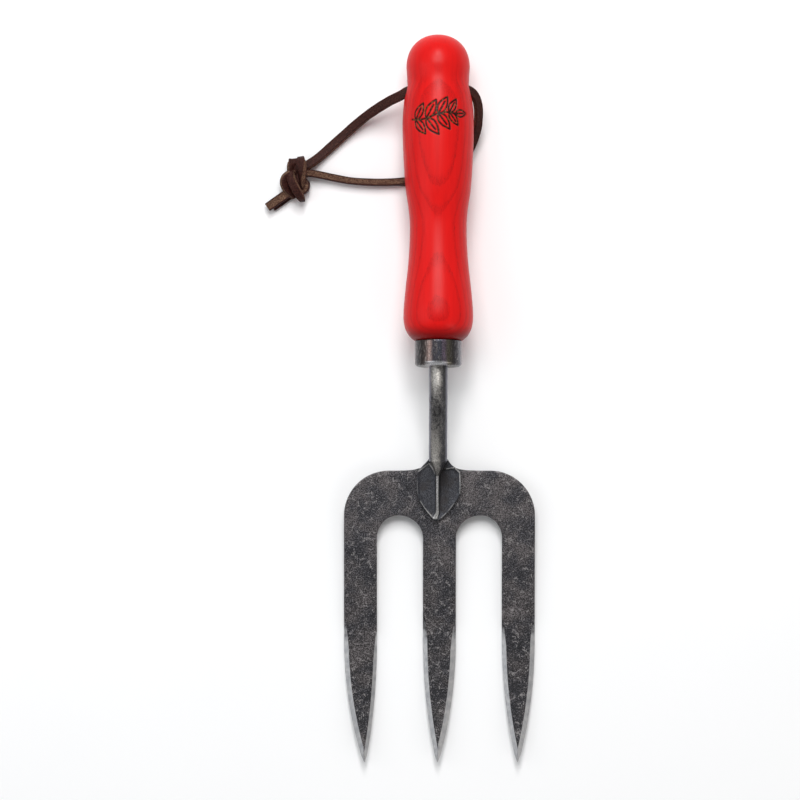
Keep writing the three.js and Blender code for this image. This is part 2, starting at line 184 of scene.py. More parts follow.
def add_object(name, data):
    obj = bpy.data.objects.new(name, data)
    bpy.context.scene.collection.objects.link(obj)
    return obj


def fill_ramp(ramp, stops):
    """Sets a new colour ramp to the (position, colour) stops."""
    elements = ramp.color_ramp.elements
    while len(elements) < len(stops):
        elements.new(0.5)
    for element, (at, colour) in zip(elements, stops):
        element.position = at
        element.color = (*colour, 1)


def add_camera():
    data = bpy.data.cameras.new("camera")
    data.sensor_width = SENSOR
    data.lens = SENSOR * CAMERA_DISTANCE / VIEW_WIDTH
    camera = add_object("camera", data)
    camera.location = (VIEW_X, 0, VIEW_PLANE + CAMERA_DISTANCE)
    bpy.context.scene.camera = camera


def add_softbox(name, place, size, power, colour):
    data = bpy.data.lights.new(name, "AREA")
    data.shape = "RECTANGLE"
    data.size, data.size_y = size
    data.energy = power
    data.color = colour
    light = add_object(name, data)
    light.location = place
    light.rotation_euler = Vector(place).to_track_quat("Z", "Y").to_euler()


def add_world():
    world = bpy.data.worlds.new("studio")
    bpy.context.scene.world = world
    world.use_nodes = True
    tree = world.node_tree
    coordinate = tree.nodes.new("ShaderNodeTexCoord")
    split = tree.nodes.new("ShaderNodeSeparateXYZ")
    ramp = tree.nodes.new("ShaderNodeValToRGB")
    tree.links.new(coordinate.outputs["Generated"], split.inputs[0])
    tree.links.new(split.outputs["Z"], ramp.inputs[0])
    fill_ramp(ramp, [(at, [level * c for c in SKY_COLOUR]) for at, level in SKY])
    tree.links.new(ramp.outputs[0], tree.nodes["Background"].inputs["Color"])
    tree.nodes["Background"].inputs["Strength"].default_value = 1.0


# ---------- materials ----------


class Look:
    """A node material that is built a node at a time. Its coordinates are in millimetres."""

    def __init__(self, name, **constants):
        self.material = bpy.data.materials.new(name)
        self.material.use_nodes = True
        self.tree = self.material.node_tree
        self.shader = self.tree.nodes["Principled BSDF"]
        for key, value in constants.items():
            self.set(key.replace("_", " ").title().replace("Ior", "IOR"), value)

    def put(self, socket, value):
        if isinstance(value, bpy.types.NodeSocket):
            self.tree.links.new(value, socket)
        elif socket.type == "RGBA":
            socket.default_value = (*value[:3], 1)
        else:
            socket.default_value = value

    def set(self, name, value):
        self.put(self.shader.inputs[name], value)

    def node(self, kind, inputs=None, **settings):
        made = self.tree.nodes.new("ShaderNode" + kind)
        for key, value in settings.items():
            setattr(made, key, value)
        for key, value in (inputs or {}).items():
            self.put(made.inputs[key], value)
        return made

    def coordinates(self, matrix=Matrix()):
        """The object's coordinates in the given frame, in millimetres."""
        inverse = matrix.inverted()
        place = self.node("TexCoord").outputs["Object"]
        local = {
            "Vector": place,
            "Location": inverse.translation / MM,
            "Rotation": inverse.to_euler(),
            "Scale": (1 / MM,) * 3,
        }
        return self.node("Mapping", local).outputs[0]

    def scaled(self, vector, factors):
        return self.node("Mapping", {"Vector": vector, "Scale": factors}).outputs[0]

    def split(self, vector):
        return self.node("SeparateXYZ", {0: vector}).outputs

    def math(self, operation, a, b=0.0, c=0.0):
        return self.node("Math", {0: a, 1: b, 2: c}, operation=operation).outputs[0]

    def mul_add(self, a, b, c):
        return self.math("MULTIPLY_ADD", a, b, c)

    def mul(self, a, b):
        return self.math("MULTIPLY", a, b)

    def sub(self, a, b):
        return self.math("SUBTRACT", a, b)

    def size_of(self, a):
        return self.math("ABSOLUTE", a)

    def noise(self, vector, scale, detail=2.0, roughness=0.5, distortion=0.0):
        inputs = {
            "Vector": vector,
            "Scale": scale,
            "Detail": detail,
            "Roughness": roughness,
            "Distortion": distortion,
        }
        return self.node("TexNoise", inputs).outputs[0]

    def step(self, value, low, high, to_low=0.0, to_high=1.0):
        """A smooth step from one level to the other as the value goes from low to high."""
        inputs = {0: value, 1: low, 2: high, 3: to_low, 4: to_high}
        return self.node("MapRange", inputs, interpolation_type="SMOOTHSTEP").outputs[0]

    def mix(self, factor, a, b):
        inputs = {0: factor, 6: a, 7: b}
        return self.node("Mix", inputs, data_type="RGBA").outputs[2]

    def between(self, value, low, high, a, b):
        """From one colour to the other as the value goes from low to high."""
        return self.mix(self.step(value, low, high), a, b)

    def over(self, under, colour, value, low, high, most):
        """A colour laid over another, up to the given share, as the value goes to high."""
        return self.mix(self.step(value, low, high, 0.0, most), under, colour)

    def streaks(self, place, factors, scale=1.0, detail=2.0, roughness=0.5):
        """Noise stretched along the axes."""
        return self.noise(self.scaled(place, factors), scale, detail, roughness)

    def finish(self, colour, roughness, height, depth):
        self.set("Base Color", colour)
        self.set("Roughness", roughness)
        self.set("Normal", self.bump(height, depth))
        return self.material

    def attribute(self, name):
        return self.node("Attribute", attribute_name=name).outputs["Fac"]

    def bump(self, height, distance):
        """Relief with the given depth in metres."""
        inputs = {"Height": height, "Distance": distance, "Strength": 1.0}
        return self.node("Bump", inputs).outputs[0]


def frame_matrix(origin, turn):
    return Matrix.Translation(origin) @ Matrix.Rotation(turn, 4, "X")


HANDLE_FRAME = frame_matrix(
    (
        0,
        OVERALL_LENGTH / 2 - HANDLE_LENGTH * math.cos(HANDLE_TILT),
        BUTT_AXIS_HEIGHT + HANDLE_LENGTH * math.sin(HANDLE_TILT),
    ),
    -HANDLE_TILT,
)


def plate_point(along, z=0.0):
    """(y, z) in the head's frame of a point along the plate, at height z over its midplane."""
    turn = np.maximum(along - FLAT_LENGTH, 0) / TINE_CURVE
    y = -np.minimum(along, FLAT_LENGTH) - (TINE_CURVE - z) * np.sin(turn)
    return y, TINE_CURVE - (TINE_CURVE - z) * np.cos(turn)


def head_frame():
    tip_y, tip_z = plate_point(HEAD_LENGTH)
    slope = HEAD_SLOPE
    drop = FLAT_LENGTH * math.sin(slope) + TINE_CURVE * (1 - math.cos(slope))
    y = -OVERALL_LENGTH / 2 - tip_y * math.cos(slope) + tip_z * math.sin(slope)
    return frame_matrix((0, y, PLATE_THICKNESS / 2 + drop), slope)


HEAD_FRAME = head_frame()

LACQUER_RED = (0.665, 0.0078, 0.0070)
LACQUER_DEEP = (0.44, 0.0038, 0.0045)
# Painted shade for the handle's end where it turns under into the ferrule.
NECK_SHADE_RED = (0.15, 0.0006, 0.0012)
PORE_RED = (0.22, 0.0030, 0.0040)
BURNT = (0.012, 0.0035, 0.0025)
BURNT_LIGHT = (0.13, 0.060, 0.018)
RING_SPACING = 1.707
RING_OFFSET = 0.14
RING_TILT = 0.0105
RING_CURVE = 0.016


def lacquered_wood():
    look = Look("lacquered_wood", coat_weight=0.24, coat_roughness=0.30, coat_ior=1.45)
    look.set("Specular IOR Level", 0.05)
    place = look.coordinates(HANDLE_FRAME)
    x, y, z = look.split(place)
    from_butt = look.sub(HANDLE_LENGTH / MM, y)
    wander = look.streaks(place, (0.12, 0.03, 0.12), 1.0, 2.0)
    height = look.mul_add(look.mul(x, x), RING_CURVE, z)
    height = look.mul_add(from_butt, -RING_TILT, height)
    height = look.mul_add(wander, 0.5, look.sub(height, 0.25))
    ragged = look.streaks(place, (2.2, 0.4, 2.2), 1.0, 2.0, 0.6)
    height = look.mul_add(ragged, 0.44, look.sub(height, 0.22))
    ring = look.math("FRACT", look.mul_add(height, 1 / RING_SPACING, RING_OFFSET))
    inner = look.step(from_butt, 32.0, 42.0, 0.95, 0.42)
    early = look.step(ring, inner, 0.10)
    early = look.mul(early, look.step(ring, 0.0, 0.09))
    early = look.mul(early, look.step(from_butt, 13.0, 24.0, 0.12, 1.0))

    fibre = look.streaks(place, (5.5, 0.55, 5.5), 1.0, 2.0, 0.6)
    speck = look.streaks(place, (3.5, 1.6, 3.5), 1.3, 2.0, 0.6)
    pores = look.mul(look.step(fibre, 0.50, 0.60), look.step(speck, 0.42, 0.56))
    pores = look.mul(pores, early)
    streak = look.streaks(place, (0.8, 0.03, 0.8), 1.0, 3.0, 0.5)
    tone = look.mul_add(early, 0.30, look.step(streak, 0.35, 0.75, 0.0, 0.22))
    # Painted shade: the red deepens towards the handle's sides, from 5 mm to 11 mm off its middle
    # plane.
    tone = look.mul_add(look.step(look.size_of(x), 5.0, 11.0), 0.26, tone)

    red = look.mix(tone, LACQUER_RED, LACQUER_DEEP)
    red = look.mix(look.mul(pores, 0.62), red, PORE_RED)
    # Painted shade: the red darkens over the last few millimetres before the ferrule.
    red = look.over(red, NECK_SHADE_RED, from_butt, 128.0, 133.6, 0.8)
    burn = look.attribute("burn")
    ember = look.step(look.noise(place, 0.9, 3.0), 0.5, 0.68)
    groove = look.mix(ember, BURNT, BURNT_LIGHT)
    relief = look.mul_add(pores, -0.6, look.mul(fibre, 0.12))
    colour = look.mix(burn, red, groove)
    rough = look.mul_add(burn, 0.3, look.step(streak, 0.2, 0.8, 0.36, 0.44))
    return look.finish(colour, rough, relief, 0.00005)


def scale_steel():
    """Blackened, tumbled steel: fine speckle, hair scratches and faint brown and blue patches."""
    look = Look("scale_steel", metallic=0.55, ior=1.5)
    place = look.coordinates(HEAD_FRAME)
    grain = look.noise(place, 1.9, 3.0, 0.65)
    fine = look.noise(place, 4.0, 2.0, 0.6)
    patch = look.noise(place, 0.10, 3.0, 0.55)
    # More light speckle towards the crown, less towards the points.
    lengthwise = look.step(look.split(place)[1], -105.0, -15.0)
    level = look.mul_add(fine, 0.45, look.mul(grain, 0.65))
    level = look.mul_add(lengthwise, 0.04, level)
    level = look.mul_add(patch, 0.22, look.sub(level, 0.13))
    speckle = look.step(level, 0.50, 0.72)

    swirl = look.node("TexNoise", {"Vector": place, "Scale": 0.35, "Detail": 2.0}).outputs["Color"]
    bent = look.node("VectorMath", {0: swirl, 1: (6, 6, 6), 2: place}, operation="MULTIPLY_ADD")
    where = {"Vector": bent.outputs[0], "Scale": 0.22}
    cells = look.node("TexVoronoi", where, feature="DISTANCE_TO_EDGE")
    hair = look.step(cells.outputs["Distance"], 0.075, 0.020)
    broken = look.step(look.noise(place, 0.45, 2.0), 0.50, 0.58)
    hair = look.mul(look.mul(hair, broken), look.step(grain, 0.35, 0.6))

    tint = look.step(patch, 0.36, 0.62)
    dark = look.mix(tint, (0.0130, 0.0128, 0.0152), (0.0152, 0.0134, 0.0136))
    light = look.mix(tint, (0.202, 0.196, 0.216), (0.216, 0.196, 0.200))
    colour = look.mix(speckle, dark, light)
    colour = look.mix(look.mul(hair, 0.8), colour, (0.34, 0.32, 0.32))
    relief = look.math("ADD", look.mul(grain, 0.6), look.mul(fine, 0.4))
    return look.finish(colour, look.step(grain, 0.3, 0.7, 0.62, 0.44), relief, 0.00013)


def ground_steel():
    """Freshly ground bevels with fine lines along the tine."""
    look = Look("ground_steel", metallic=1.0)
    place = look.coordinates(HEAD_FRAME)
    line = look.streaks(place, (7.0, 0.25, 7.0), 1.0, 3.0, 0.65)
    cloud = look.noise(place, 0.35, 2.0)
    tone = look.mul_add(cloud, 0.4, look.mul(line, 0.6))
    bright = look.between(tone, 0.3, 0.72, (0.36, 0.36, 0.38), (0.66, 0.65, 0.64))
    lengthwise = look.streaks(place, (1.0, 0.4, 1.0), 0.9, 3.0, 0.6)
    start = look.mul_add(lengthwise, 16.0, look.sub(look.split(place)[1], 8.0))
    grain = look.noise(place, 1.9, 3.0, 0.65)
    scale = look.between(grain, 0.48, 0.66, (0.020, 0.019, 0.021), (0.19, 0.18, 0.19))
    colour = look.between(start, -75.0, -66.0, bright, scale)
    rough = look.step(line, 0.3, 0.7, 0.46, 0.34)
    return look.finish(colour, rough, line, 0.00004)


SHEEN_AT = 10.8  # millimetres along Y: where the painted highlight on the front of the bar is brightest
SHEEN_EVERY = 33.0


def forged_steel():
    """Black bar with a fine forged grain, a painted highlight along its front that brightens and
    dims in long patches, and painted reflection on its sides.
    """
    look = Look("forged_steel", metallic=0.9)
    place = look.coordinates()
    x, y, _ = look.split(place)
    drift = look.streaks(place, (0.1, 0.08, 0.1), 1.0, 2.0)
    grain = look.streaks(place, (2.6, 1.5, 2.6), 1.3, 3.0, 0.65)
    mottle = look.streaks(place, (0.9, 0.35, 0.9), 1.0, 4.0, 0.6)
    # Painted highlight along the front of the bar: bright, dim and bright again along Y, fading to
    # the sides.
    turns = 2 * math.pi / SHEEN_EVERY
    phase = look.mul_add(y, turns, -SHEEN_AT * 2 * math.pi / SHEEN_EVERY)
    patch = look.mul_add(look.math("COSINE", phase), 0.34, 0.52)
    off = look.size_of(look.mul_add(drift, 3.0, look.sub(x, 0.6)))
    front = look.mul(look.step(off, 3.4, 0.4), patch)
    tone = look.mul_add(grain, 0.45, look.mul(mottle, 0.35))
    tone = look.mul_add(front, 0.40, tone)
    colour = look.between(tone, 0.36, 0.84, (0.050, 0.050, 0.057), (0.60, 0.57, 0.53))
    grit = look.streaks(place, (1.7, 1.3, 1.7), 1.4, 3.0, 0.7)
    colour = look.over(colour, (0.060, 0.056, 0.052), grit, 0.46, 0.60, 0.55)
    # Painted reflection: the sides of the bar, beyond 2.9 mm from its middle, are set to an even
    # blue-grey.
    colour = look.over(colour, (0.175, 0.175, 0.21), look.size_of(x), 2.9, 3.7, 0.85)
    # Dark specks only where the painted highlight is dim, which deepen the painted shade there.
    pits_and_shade = look.mul(look.step(mottle, 0.50, 0.34), look.step(patch, 0.55, 0.25))
    colour = look.mix(look.mul(pits_and_shade, 0.7), colour, (0.030, 0.027, 0.026))
    relief = look.mul_add(grain, 0.5, look.mul(mottle, 0.5))
    return look.finish(colour, look.step(grain, 0.3, 0.7, 0.52, 0.38), relief, 0.00012)


def leaf_steel():
    """The foot's hollows: dark, slightly blue, with faint forging lines and painted highlights."""
    look = Look("leaf_steel", metallic=0.7)
    place = look.coordinates(HEAD_FRAME)
    x, y, _ = look.split(place)
    grain = look.streaks(place, (1.8, 0.7, 1.4), 1.8, 4.0, 0.65)
    patch = look.noise(place, 0.22, 2.0)
    colour = look.between(grain, 0.38, 0.72, (0.019, 0.020, 0.025), (0.110, 0.112, 0.128))
    speck = look.noise(place, 3.4, 2.0, 0.6)
    colour = look.over(colour, (0.150, 0.150, 0.160), speck, 0.52, 0.68, 0.6)
    colour = look.over(colour, (0.045, 0.038, 0.035), patch, 0.5, 0.7, 0.5)
    beside = look.mul(look.step(x, 0.2, 1.0), look.step(x, 7.0, 2.0))
    shade = look.mul(beside, look.step(y, -15.0, -3.0))
    colour = look.mix(look.mul(shade, 0.75), colour, (0.012, 0.009, 0.008))
    # Painted highlights on the edges and the keel: near-white, fully metallic and smoother.
    painted_glint = look.attribute("painted_glint")
    shine = look.noise(place, 2.6, 3.0)
    bright = look.between(shine, 0.35, 0.65, (0.46, 0.45, 0.44), (1.0, 0.98, 0.96))
    look.set("Base Color", look.mix(painted_glint, colour, bright))
    look.set("Roughness", look.step(painted_glint, 0.0, 1.0, 0.52, 0.34))
    look.set("Metallic", look.step(painted_glint, 0.0, 1.0, 0.7, 1.0))
    look.set("Normal", look.bump(grain, 0.00008))
    return look.material


def ferrule_steel():
    """Drawn steel with temper colours in strips along it, which also carry painted reflection, and
    a painted highlight on its rounded end.
    """
    look = Look("ferrule_steel", metallic=1.0)
    place = look.coordinates(HANDLE_FRAME)
    x, y, _ = look.split(place)
    mottle = look.streaks(place, (1.1, 0.35, 1.1), 1.2, 4.0, 0.65)
    line = look.streaks(place, (4.5, 0.10, 4.5), 1.0, 3.0, 0.7)
    shift = look.mul_add(look.sub(mottle, 0.5), 2.2, x)
    ramp = look.node("ValToRGB", {0: look.mul_add(shift, 0.049, 0.5)})
    # Temper colours by position across the ferrule, with painted reflection: a bright strip left
    # of the middle and a bright right edge.
    tints_and_sheen = [
        (0.00, (0.060, 0.058, 0.066)),
        (0.12, (0.038, 0.035, 0.035)),
        (0.22, (0.085, 0.066, 0.060)),
        (0.31, (0.30, 0.205, 0.180)),
        (0.38, (0.050, 0.046, 0.054)),
        (0.55, (0.045, 0.048, 0.060)),
        (0.62, (0.24, 0.180, 0.245)),
        (0.70, (0.180, 0.160, 0.120)),
        (0.82, (0.062, 0.056, 0.058)),
        (0.90, (0.075, 0.072, 0.080)),
        (1.00, (0.24, 0.24, 0.27)),
    ]
    fill_ramp(ramp, tints_and_sheen)
    colour = look.over(ramp.outputs[0], (0.50, 0.46, 0.44), mottle, 0.48, 0.70, 0.30)
    colour = look.over(colour, (0.07, 0.06, 0.065), line, 0.58, 0.70, 0.6)
    grit = look.noise(place, 2.2, 2.0, 0.6)
    colour = look.over(colour, (0.025, 0.022, 0.024), grit, 0.46, 0.58, 0.5)
    # Painted highlight: a near-white line along the middle of the rounded closed end.
    middle = look.step(look.size_of(look.math("ADD", x, 1.0)), 6.0, 2.0)
    rim = look.mul(look.step(y, -9.4, -10.3), middle)
    colour = look.mix(look.mul(rim, 0.85), colour, (0.80, 0.80, 0.82))
    return look.finish(colour, look.step(mottle, 0.3, 0.7, 0.34, 0.22), line, 0.00003)


def leather():
    """Dyed grain on the two faces, tan fibre where the lace is cut."""
    look = Look("leather")
    look.set("Specular IOR Level", 0.12)
    place = look.coordinates()
    cut = look.attribute("cut")
    fray = look.noise(place, 2.6, 3.0, 0.6)
    edge = look.step(look.mul_add(look.sub(fray, 0.5), 0.9, cut), 0.40, 0.62)
    crease = look.noise(place, 1.5, 4.0, 0.6, 0.6)
    grain = look.between(crease, 0.3, 0.7, (0.014, 0.0038, 0.0030), (0.056, 0.0170, 0.0130))
    rub = look.step(look.noise(place, 1.9, 3.0, 0.7), 0.56, 0.68)
    grain = look.mix(look.mul(rub, 0.42), grain, (0.150, 0.075, 0.052))
    fibre = look.between(fray, 0.34, 0.68, (0.034, 0.0140, 0.0090), (0.240, 0.140, 0.090))
    stain = look.streaks(place, (0.9, 0.9, 0.9), 0.9, 3.0, 0.65)
    fibre = look.over(fibre, (0.060, 0.027, 0.019), stain, 0.44, 0.60, 0.65)
    relief = look.mul_add(look.mul(edge, fray), 0.8, look.mul(crease, 0.5))
    colour = look.mix(edge, grain, fibre)
    rough = look.step(edge, 0.0, 1.0, 0.55, 0.85)
    return look.finish(colour, rough, relief, 0.00018)


def floor_paper():
    look = Look("floor_paper", roughness=0.9)
    look.set("Specular IOR Level", 0.1)
    place = look.coordinates()
    cloud = look.noise(place, 0.02, 2.0)
    look.set("Base Color", look.mix(cloud, (0.955, 0.955, 0.958), (0.97, 0.97, 0.97)))
    return look.material


# ---------- mesh helpers ----------


def mesh_object(name, verts, faces, materials, parts=None, crease=40):
    mesh = bpy.data.meshes.new(name)
    mesh.from_pydata(np.asarray(verts, float).tolist(), [], [list(map(int, f)) for f in faces])
    for material in materials:
        mesh.materials.append(material)
    if parts is not None:
        mesh.polygons.foreach_set("material_index", np.asarray(parts, np.int32))
    mesh.shade_smooth()
    mesh.set_sharp_from_angle(angle=math.radians(crease))
    return add_object(name, mesh)


def add_attribute(obj, name, values):
    layer = obj.data.attributes.new(name, "FLOAT", "POINT")
    layer.data.foreach_set("value", np.asarray(values, np.float32))


def moved(points, matrix):
    points = np.asarray(points, float)
    turn = np.array(matrix.to_3x3())
    return points @ turn.T + np.array(matrix.translation)


def ring_faces(rings, sides):
    """Quads between successive rings of points, facing out where the rings turn right-handed."""
    faces = []
    for r in range(rings - 1):
        for i in range(sides):
            a, b = r * sides + i, r * sides + (i + 1) % sides
            faces.append((a, a + sides, b + sides, b))
    return faces


def tube_faces(rings, sides, flipped=False):
    """The faces of a tube through the rings, with its two ends closed."""
    last = (rings - 1) * sides
    faces = ring_faces(rings, sides)
    faces += [tuple(range(sides)), tuple(last + i for i in reversed(range(sides)))]
    return [tuple(reversed(f)) for f in faces] if flipped else faces


def full_turn(sides):
    return np.linspace(0, 2 * math.pi, sides, endpoint=False)


def unit(vectors):
    return vectors / np.linalg.norm(vectors, axis=1)[:, None]


def smooth01(value, low, high):
    t = np.clip((np.asarray(value, float) - low) / (high - low), 0, 1)
    return t * t * (3 - 2 * t)


def segment_distance(points, a, b):
    """How far each point is from the line between a and b."""
    ab = b - a
    t = np.clip((points - a) @ ab / (ab @ ab), 0, 1)
    return np.linalg.norm(points - a - t[:, None] * ab, axis=1)


def nearest(points, others):
    """How far each point is from the nearest of the others."""
    out = np.empty(len(points))
    for chunk in np.array_split(np.arange(len(points)), 40):
        out[chunk] = np.linalg.norm(points[chunk][:, None] - others[None], axis=2).min(1)
    return out


def resampled(points, step):
    """Points about a step apart along the lines through the given ones, without the last."""
    points = np.array(points, float)
    out = []
    for p, d in zip(points, np.diff(points, axis=0)):
        count = max(1, int(round(np.linalg.norm(d) / step)))
        out += [p + d * k / count for k in range(count)]
    return out


def extended(points):
    """The points with one more at each end, in line with the last two."""
    p = np.array(points, float)
    return np.vstack([2 * p[0] - p[1], p, 2 * p[-1] - p[-2]])


def hermite(t, p1, p2, m1, m2):
    """Points on the cubic from p1 to p2 whose tangents at its ends are m1 and m2."""
    basis = (2 * t**3 - 3 * t**2 + 1, t**3 - 2 * t**2 + t, 3 * t**2 - 2 * t**3, t**3 - t**2)
    return basis[0] * p1 + basis[1] * m1 + basis[2] * p2 + basis[3] * m2


def catmull(points, per_span):
    """Centripetal Catmull-Rom curve through the points, as in the CAD."""
    p = extended(points)
    t = (np.arange(per_span) / per_span)[:, None]
    out = []
    for p0, p1, p2, p3 in zip(p, p[1:], p[2:], p[3:]):
        pairs = ((p0, p1), (p1, p2), (p2, p3))
        d0, d1, d2 = (np.linalg.norm(b[:3] - a[:3]) ** 0.5 for a, b in pairs)
        m1 = ((p1 - p0) / d0 - (p2 - p0) / (d0 + d1) + (p2 - p1) / d1) * d1
        m2 = ((p2 - p1) / d1 - (p3 - p1) / (d1 + d2) + (p3 - p2) / d2) * d1
        out.append(hermite(t, p1, p2, m1, m2))
    return np.vstack(out + [p[-2:-1]])


# ---------- leather strands ----------


def strand_section():
    """Rows of (corner centre, direction from it, cut): a rounded rectangle turning right-handed
    about the strand's side and up axes. cut is 1 on the fibre of the two cut sides."""
    rows = []
    side = [(-0.98, 0), (-0.84, 1), (-0.4, 1), (0.0, 1), (0.4, 1), (0.84, 1), (0.98, 0)]
    face = [-0.8, -0.4, 0.0, 0.4, 0.8]
    for quarter, (ca, cb) in enumerate([(1, 1), (-1, 1), (-1, -1), (1, -1)]):
        sign = 1 if quarter in (0, 3) else -1
        if quarter in (0, 2):
            rows += [(sign, sign * t, sign, 0, cut) for t, cut in side]
        else:
            rows += [(-t * cb, cb, 0, cb, 0) for t in face]
        start = quarter * math.pi / 2
        for k in (1, 2, 3):
            angle = start + k * math.pi / 8
            rows.append((ca, cb, math.cos(angle), math.sin(angle), 0))
    return np.array(rows)


SECTION = strand_section()


def strand(centre, up, width, thick, cut_ends=(False, False)):
    """Vertices, faces and the cut attribute of a flat strand swept along the centreline."""
    along = unit(np.gradient(centre, axis=0))
    up = unit(up - (up * along).sum(1)[:, None] * along)
    side = np.cross(along, up)
    corner = LACE_CORNER

    def ring(i, shrink=0.0, shift=0.0):
        a = SECTION[:, 0] * (width[i] / 2 - corner) + SECTION[:, 2] * (corner - shrink)
        b = SECTION[:, 1] * (thick[i] / 2 - corner) + SECTION[:, 3] * (corner - shrink)
        return centre[i] + along[i] * shift + a[:, None] * side[i] + b[:, None] * up[i]

    last = len(centre) - 1
    inset = END_ROUNDING
    rings = [ring(0, inset, -inset / 2)]
    rings += [ring(i) for i in range(last + 1)]
    rings.append(ring(last, inset, inset / 2))
    cuts = [SECTION[:, 4]] * len(rings)
    for end, index in ((0, 0), (1, -1)):
        if cut_ends[end]:
            cuts[index] = np.ones(len(SECTION))
    return np.vstack(rings), tube_faces(len(rings), len(SECTION)), np.concatenate(cuts)


def ripple(count, seed, size):
    """A smooth, repeatable unevenness along a strand."""
    t = np.linspace(0, 1, count) * count / 9
    slow, quick = np.sin(t * 1.7 + seed), np.sin(t * 3.9 + 2 * seed)
    return size * (slow + 0.6 * quick + 0.4 * np.sin(t * 8.3 + 3 * seed)) / 2


def rolled(centre, roll):
    """Up vectors turned about the centreline: 0 has a face upwards, 90 degrees a cut side."""
    along = unit(np.gradient(centre, axis=0))
    flat = unit(np.cross(np.cross(along, (0, 0, 1)), along))
    side = np.cross(along, flat)
    return flat * np.cos(roll)[:, None] + side * np.sin(roll)[:, None]


def make_lace(name, route, rolls, widths, thicks):
    """One run of the lace from the middle of the hole to the knot, resting on the surface."""
    per_span = LACE_STEPS
    centre = catmull(route, per_span)
    at = np.linspace(0, len(route) - 1, len(centre))
    roll = np.radians(np.interp(at, *zip(*rolls)))
    kernel = np.ones(per_span) / per_span
    spare = per_span // 2
    roll = np.convolve(np.pad(roll, spare, mode="edge"), kernel, "same")[spare:-spare]
    width = np.interp(at, *zip(*widths)) * (1 + ripple(len(at), 1.3, 0.035))
    thick = np.interp(at, *zip(*thicks)) * (1 + ripple(len(at), 4.1, 0.035))
    reach = np.abs(np.sin(roll)) * width / 2 + np.abs(np.cos(roll)) * thick / 2
    rounding = LACE_CORNER * 2 * (1 - math.cos(math.pi / 4)) * np.abs(np.sin(2 * roll))
    centre[:, 2] = np.maximum(centre[:, 2], reach - rounding + FLOOR_CLEARANCE)
    verts, faces, cut = strand(centre, rolled(centre, roll), width, thick)
    obj = mesh_object(name, verts, faces, [LEATHER])
    add_attribute(obj, "cut", cut * 0.72)
    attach(obj, "root")
    return obj


# ---------- knot ----------

# Each strand of the knot. A path's row has a point on the centreline in tenths of a millimetre,
# then the way that its face looks there in hundredths. Widths and thicknesses are in tenths.
KNOT_UNITS = (10000, 10000, 10000, 100, 100, 100)
KNOT_STRANDS = [
    # over the top, turning its cut side up on the way down
    dict(
        path=[
            (-605, 1058, 30, -10, 100, -20), (-604, 1061, 52, -15, 100, 40),
            (-602, 1052, 70, -35, 60, 80), (-600, 1034, 80, -62, 10, 78),
            (-599, 1012, 80, -78, -5, 62), (-598, 990, 72, -92, -15, 38),
            (-597, 971, 60, -97, -20, 15), (-593, 953, 44, -97, -20, 5),
            (-587, 938, 30, -97, -20, 5),
        ],
        width=(26, 31, 38, 40, 38, 34, 30, 30, 30), thick=28, tan=0.85,
    ),
    # the fold to the left of it, in its shadow
    dict(
        path=[
            (-638, 1046, 22, -25, 100, -20), (-639, 1054, 36, -20, 98, 30),
            (-642, 1049, 48, 25, 50, 80), (-647, 1032, 51, 62, 5, 78),
            (-648, 1012, 45, 62, -30, 72), (-643, 996, 36, 40, -60, 66),
        ],
        width=(40, 40, 36, 32, 30, 30), thick=24, tan=0.7,
    ),
    # left bight, its outer cut side showing
    dict(
        path=[
            (-633, 995, 44, 20, -50, 85), (-653, 993, 53, 25, -55, 80),
            (-669, 981, 57, 45, -35, 82), (-676, 964, 56, 55, 0, 83), (-673, 945, 51, 48, 15, 87),
            (-662, 927, 43, 36, 30, 89), (-645, 913, 35, 30, 35, 90), (-630, 903, 28, 20, 30, 90),
        ],
        width=38, thick=24,
    ),
    # diagonal strand over the middle, which turns under at its lower end
    dict(
        path=[
            (-651, 1004, 46, -10, 80, 50), (-649, 994, 64, -42, 40, 80),
            (-644, 970, 78, -58, 2, 80), (-631, 940, 82, -48, -5, 86),
            (-615, 912, 76, -36, -15, 92), (-603, 892, 62, -15, -60, 80),
            (-597, 885, 44, 10, -100, 20), (-599, 892, 28, 10, -80, -60),
        ],
        width=(34, 35, 36, 36, 36, 30, 23, 22), thick=24,
    ),
    # small bight on the right, cut side up
    dict(
        path=[
            (-605, 914, 32, 30, -95, 10), (-589, 922, 38, 70, -70, 10),
            (-578, 936, 41, 100, -20, 10), (-577, 952, 41, 95, 30, 10),
            (-586, 967, 40, 60, 80, 10), (-601, 974, 38, 10, 100, 10),
        ],
        width=36, thick=24,
    ),
    # the turns underneath, which the others cover
    dict(
        path=[
            (-593, 1036, 44, 0, 10, 100), (-611, 1022, 44, 0, 10, 100),
            (-631, 1004, 36, 0, 10, 100), (-653, 978, 26, 10, 10, 100),
            (-657, 950, 22, 10, 0, 100), (-645, 925, 22, 10, 0, 100),
        ],
        width=42, thick=28,
    ),
    dict(
        path=[
            (-587, 1004, 40, 0, 30, 90), (-601, 990, 44, 0, 10, 100), (-609, 966, 42, 0, 0, 100),
            (-609, 938, 34, 0, 0, 100), (-607, 914, 26, 0, 0, 100),
        ],
        width=42, thick=28,
    ),
    # upper tail, flesh side up
    dict(
        path=[
            (-635, 931, 36, 56, -83, 4), (-659, 915, 35, 56, -83, 4), (-687, 896, 33, 56, -83, 4),
            (-717, 875, 31, 56, -83, 4), (-752, 851, 30, 56, -83, 4),
        ],
        width=23, thick=40, tan=0.62, ends=(False, True),
    ),
    # lower tail, which shows beside it
    dict(
        path=[
            (-625, 915, 13, 5, -5, 100), (-653, 905, 12, 5, -5, 100), (-681, 887, 12, 5, -5, 100),
            (-707, 869, 12, 5, -5, 100), (-731, 852, 12, 5, -5, 100),
        ],
        width=38, thick=20, ends=(False, True),
    ),
]


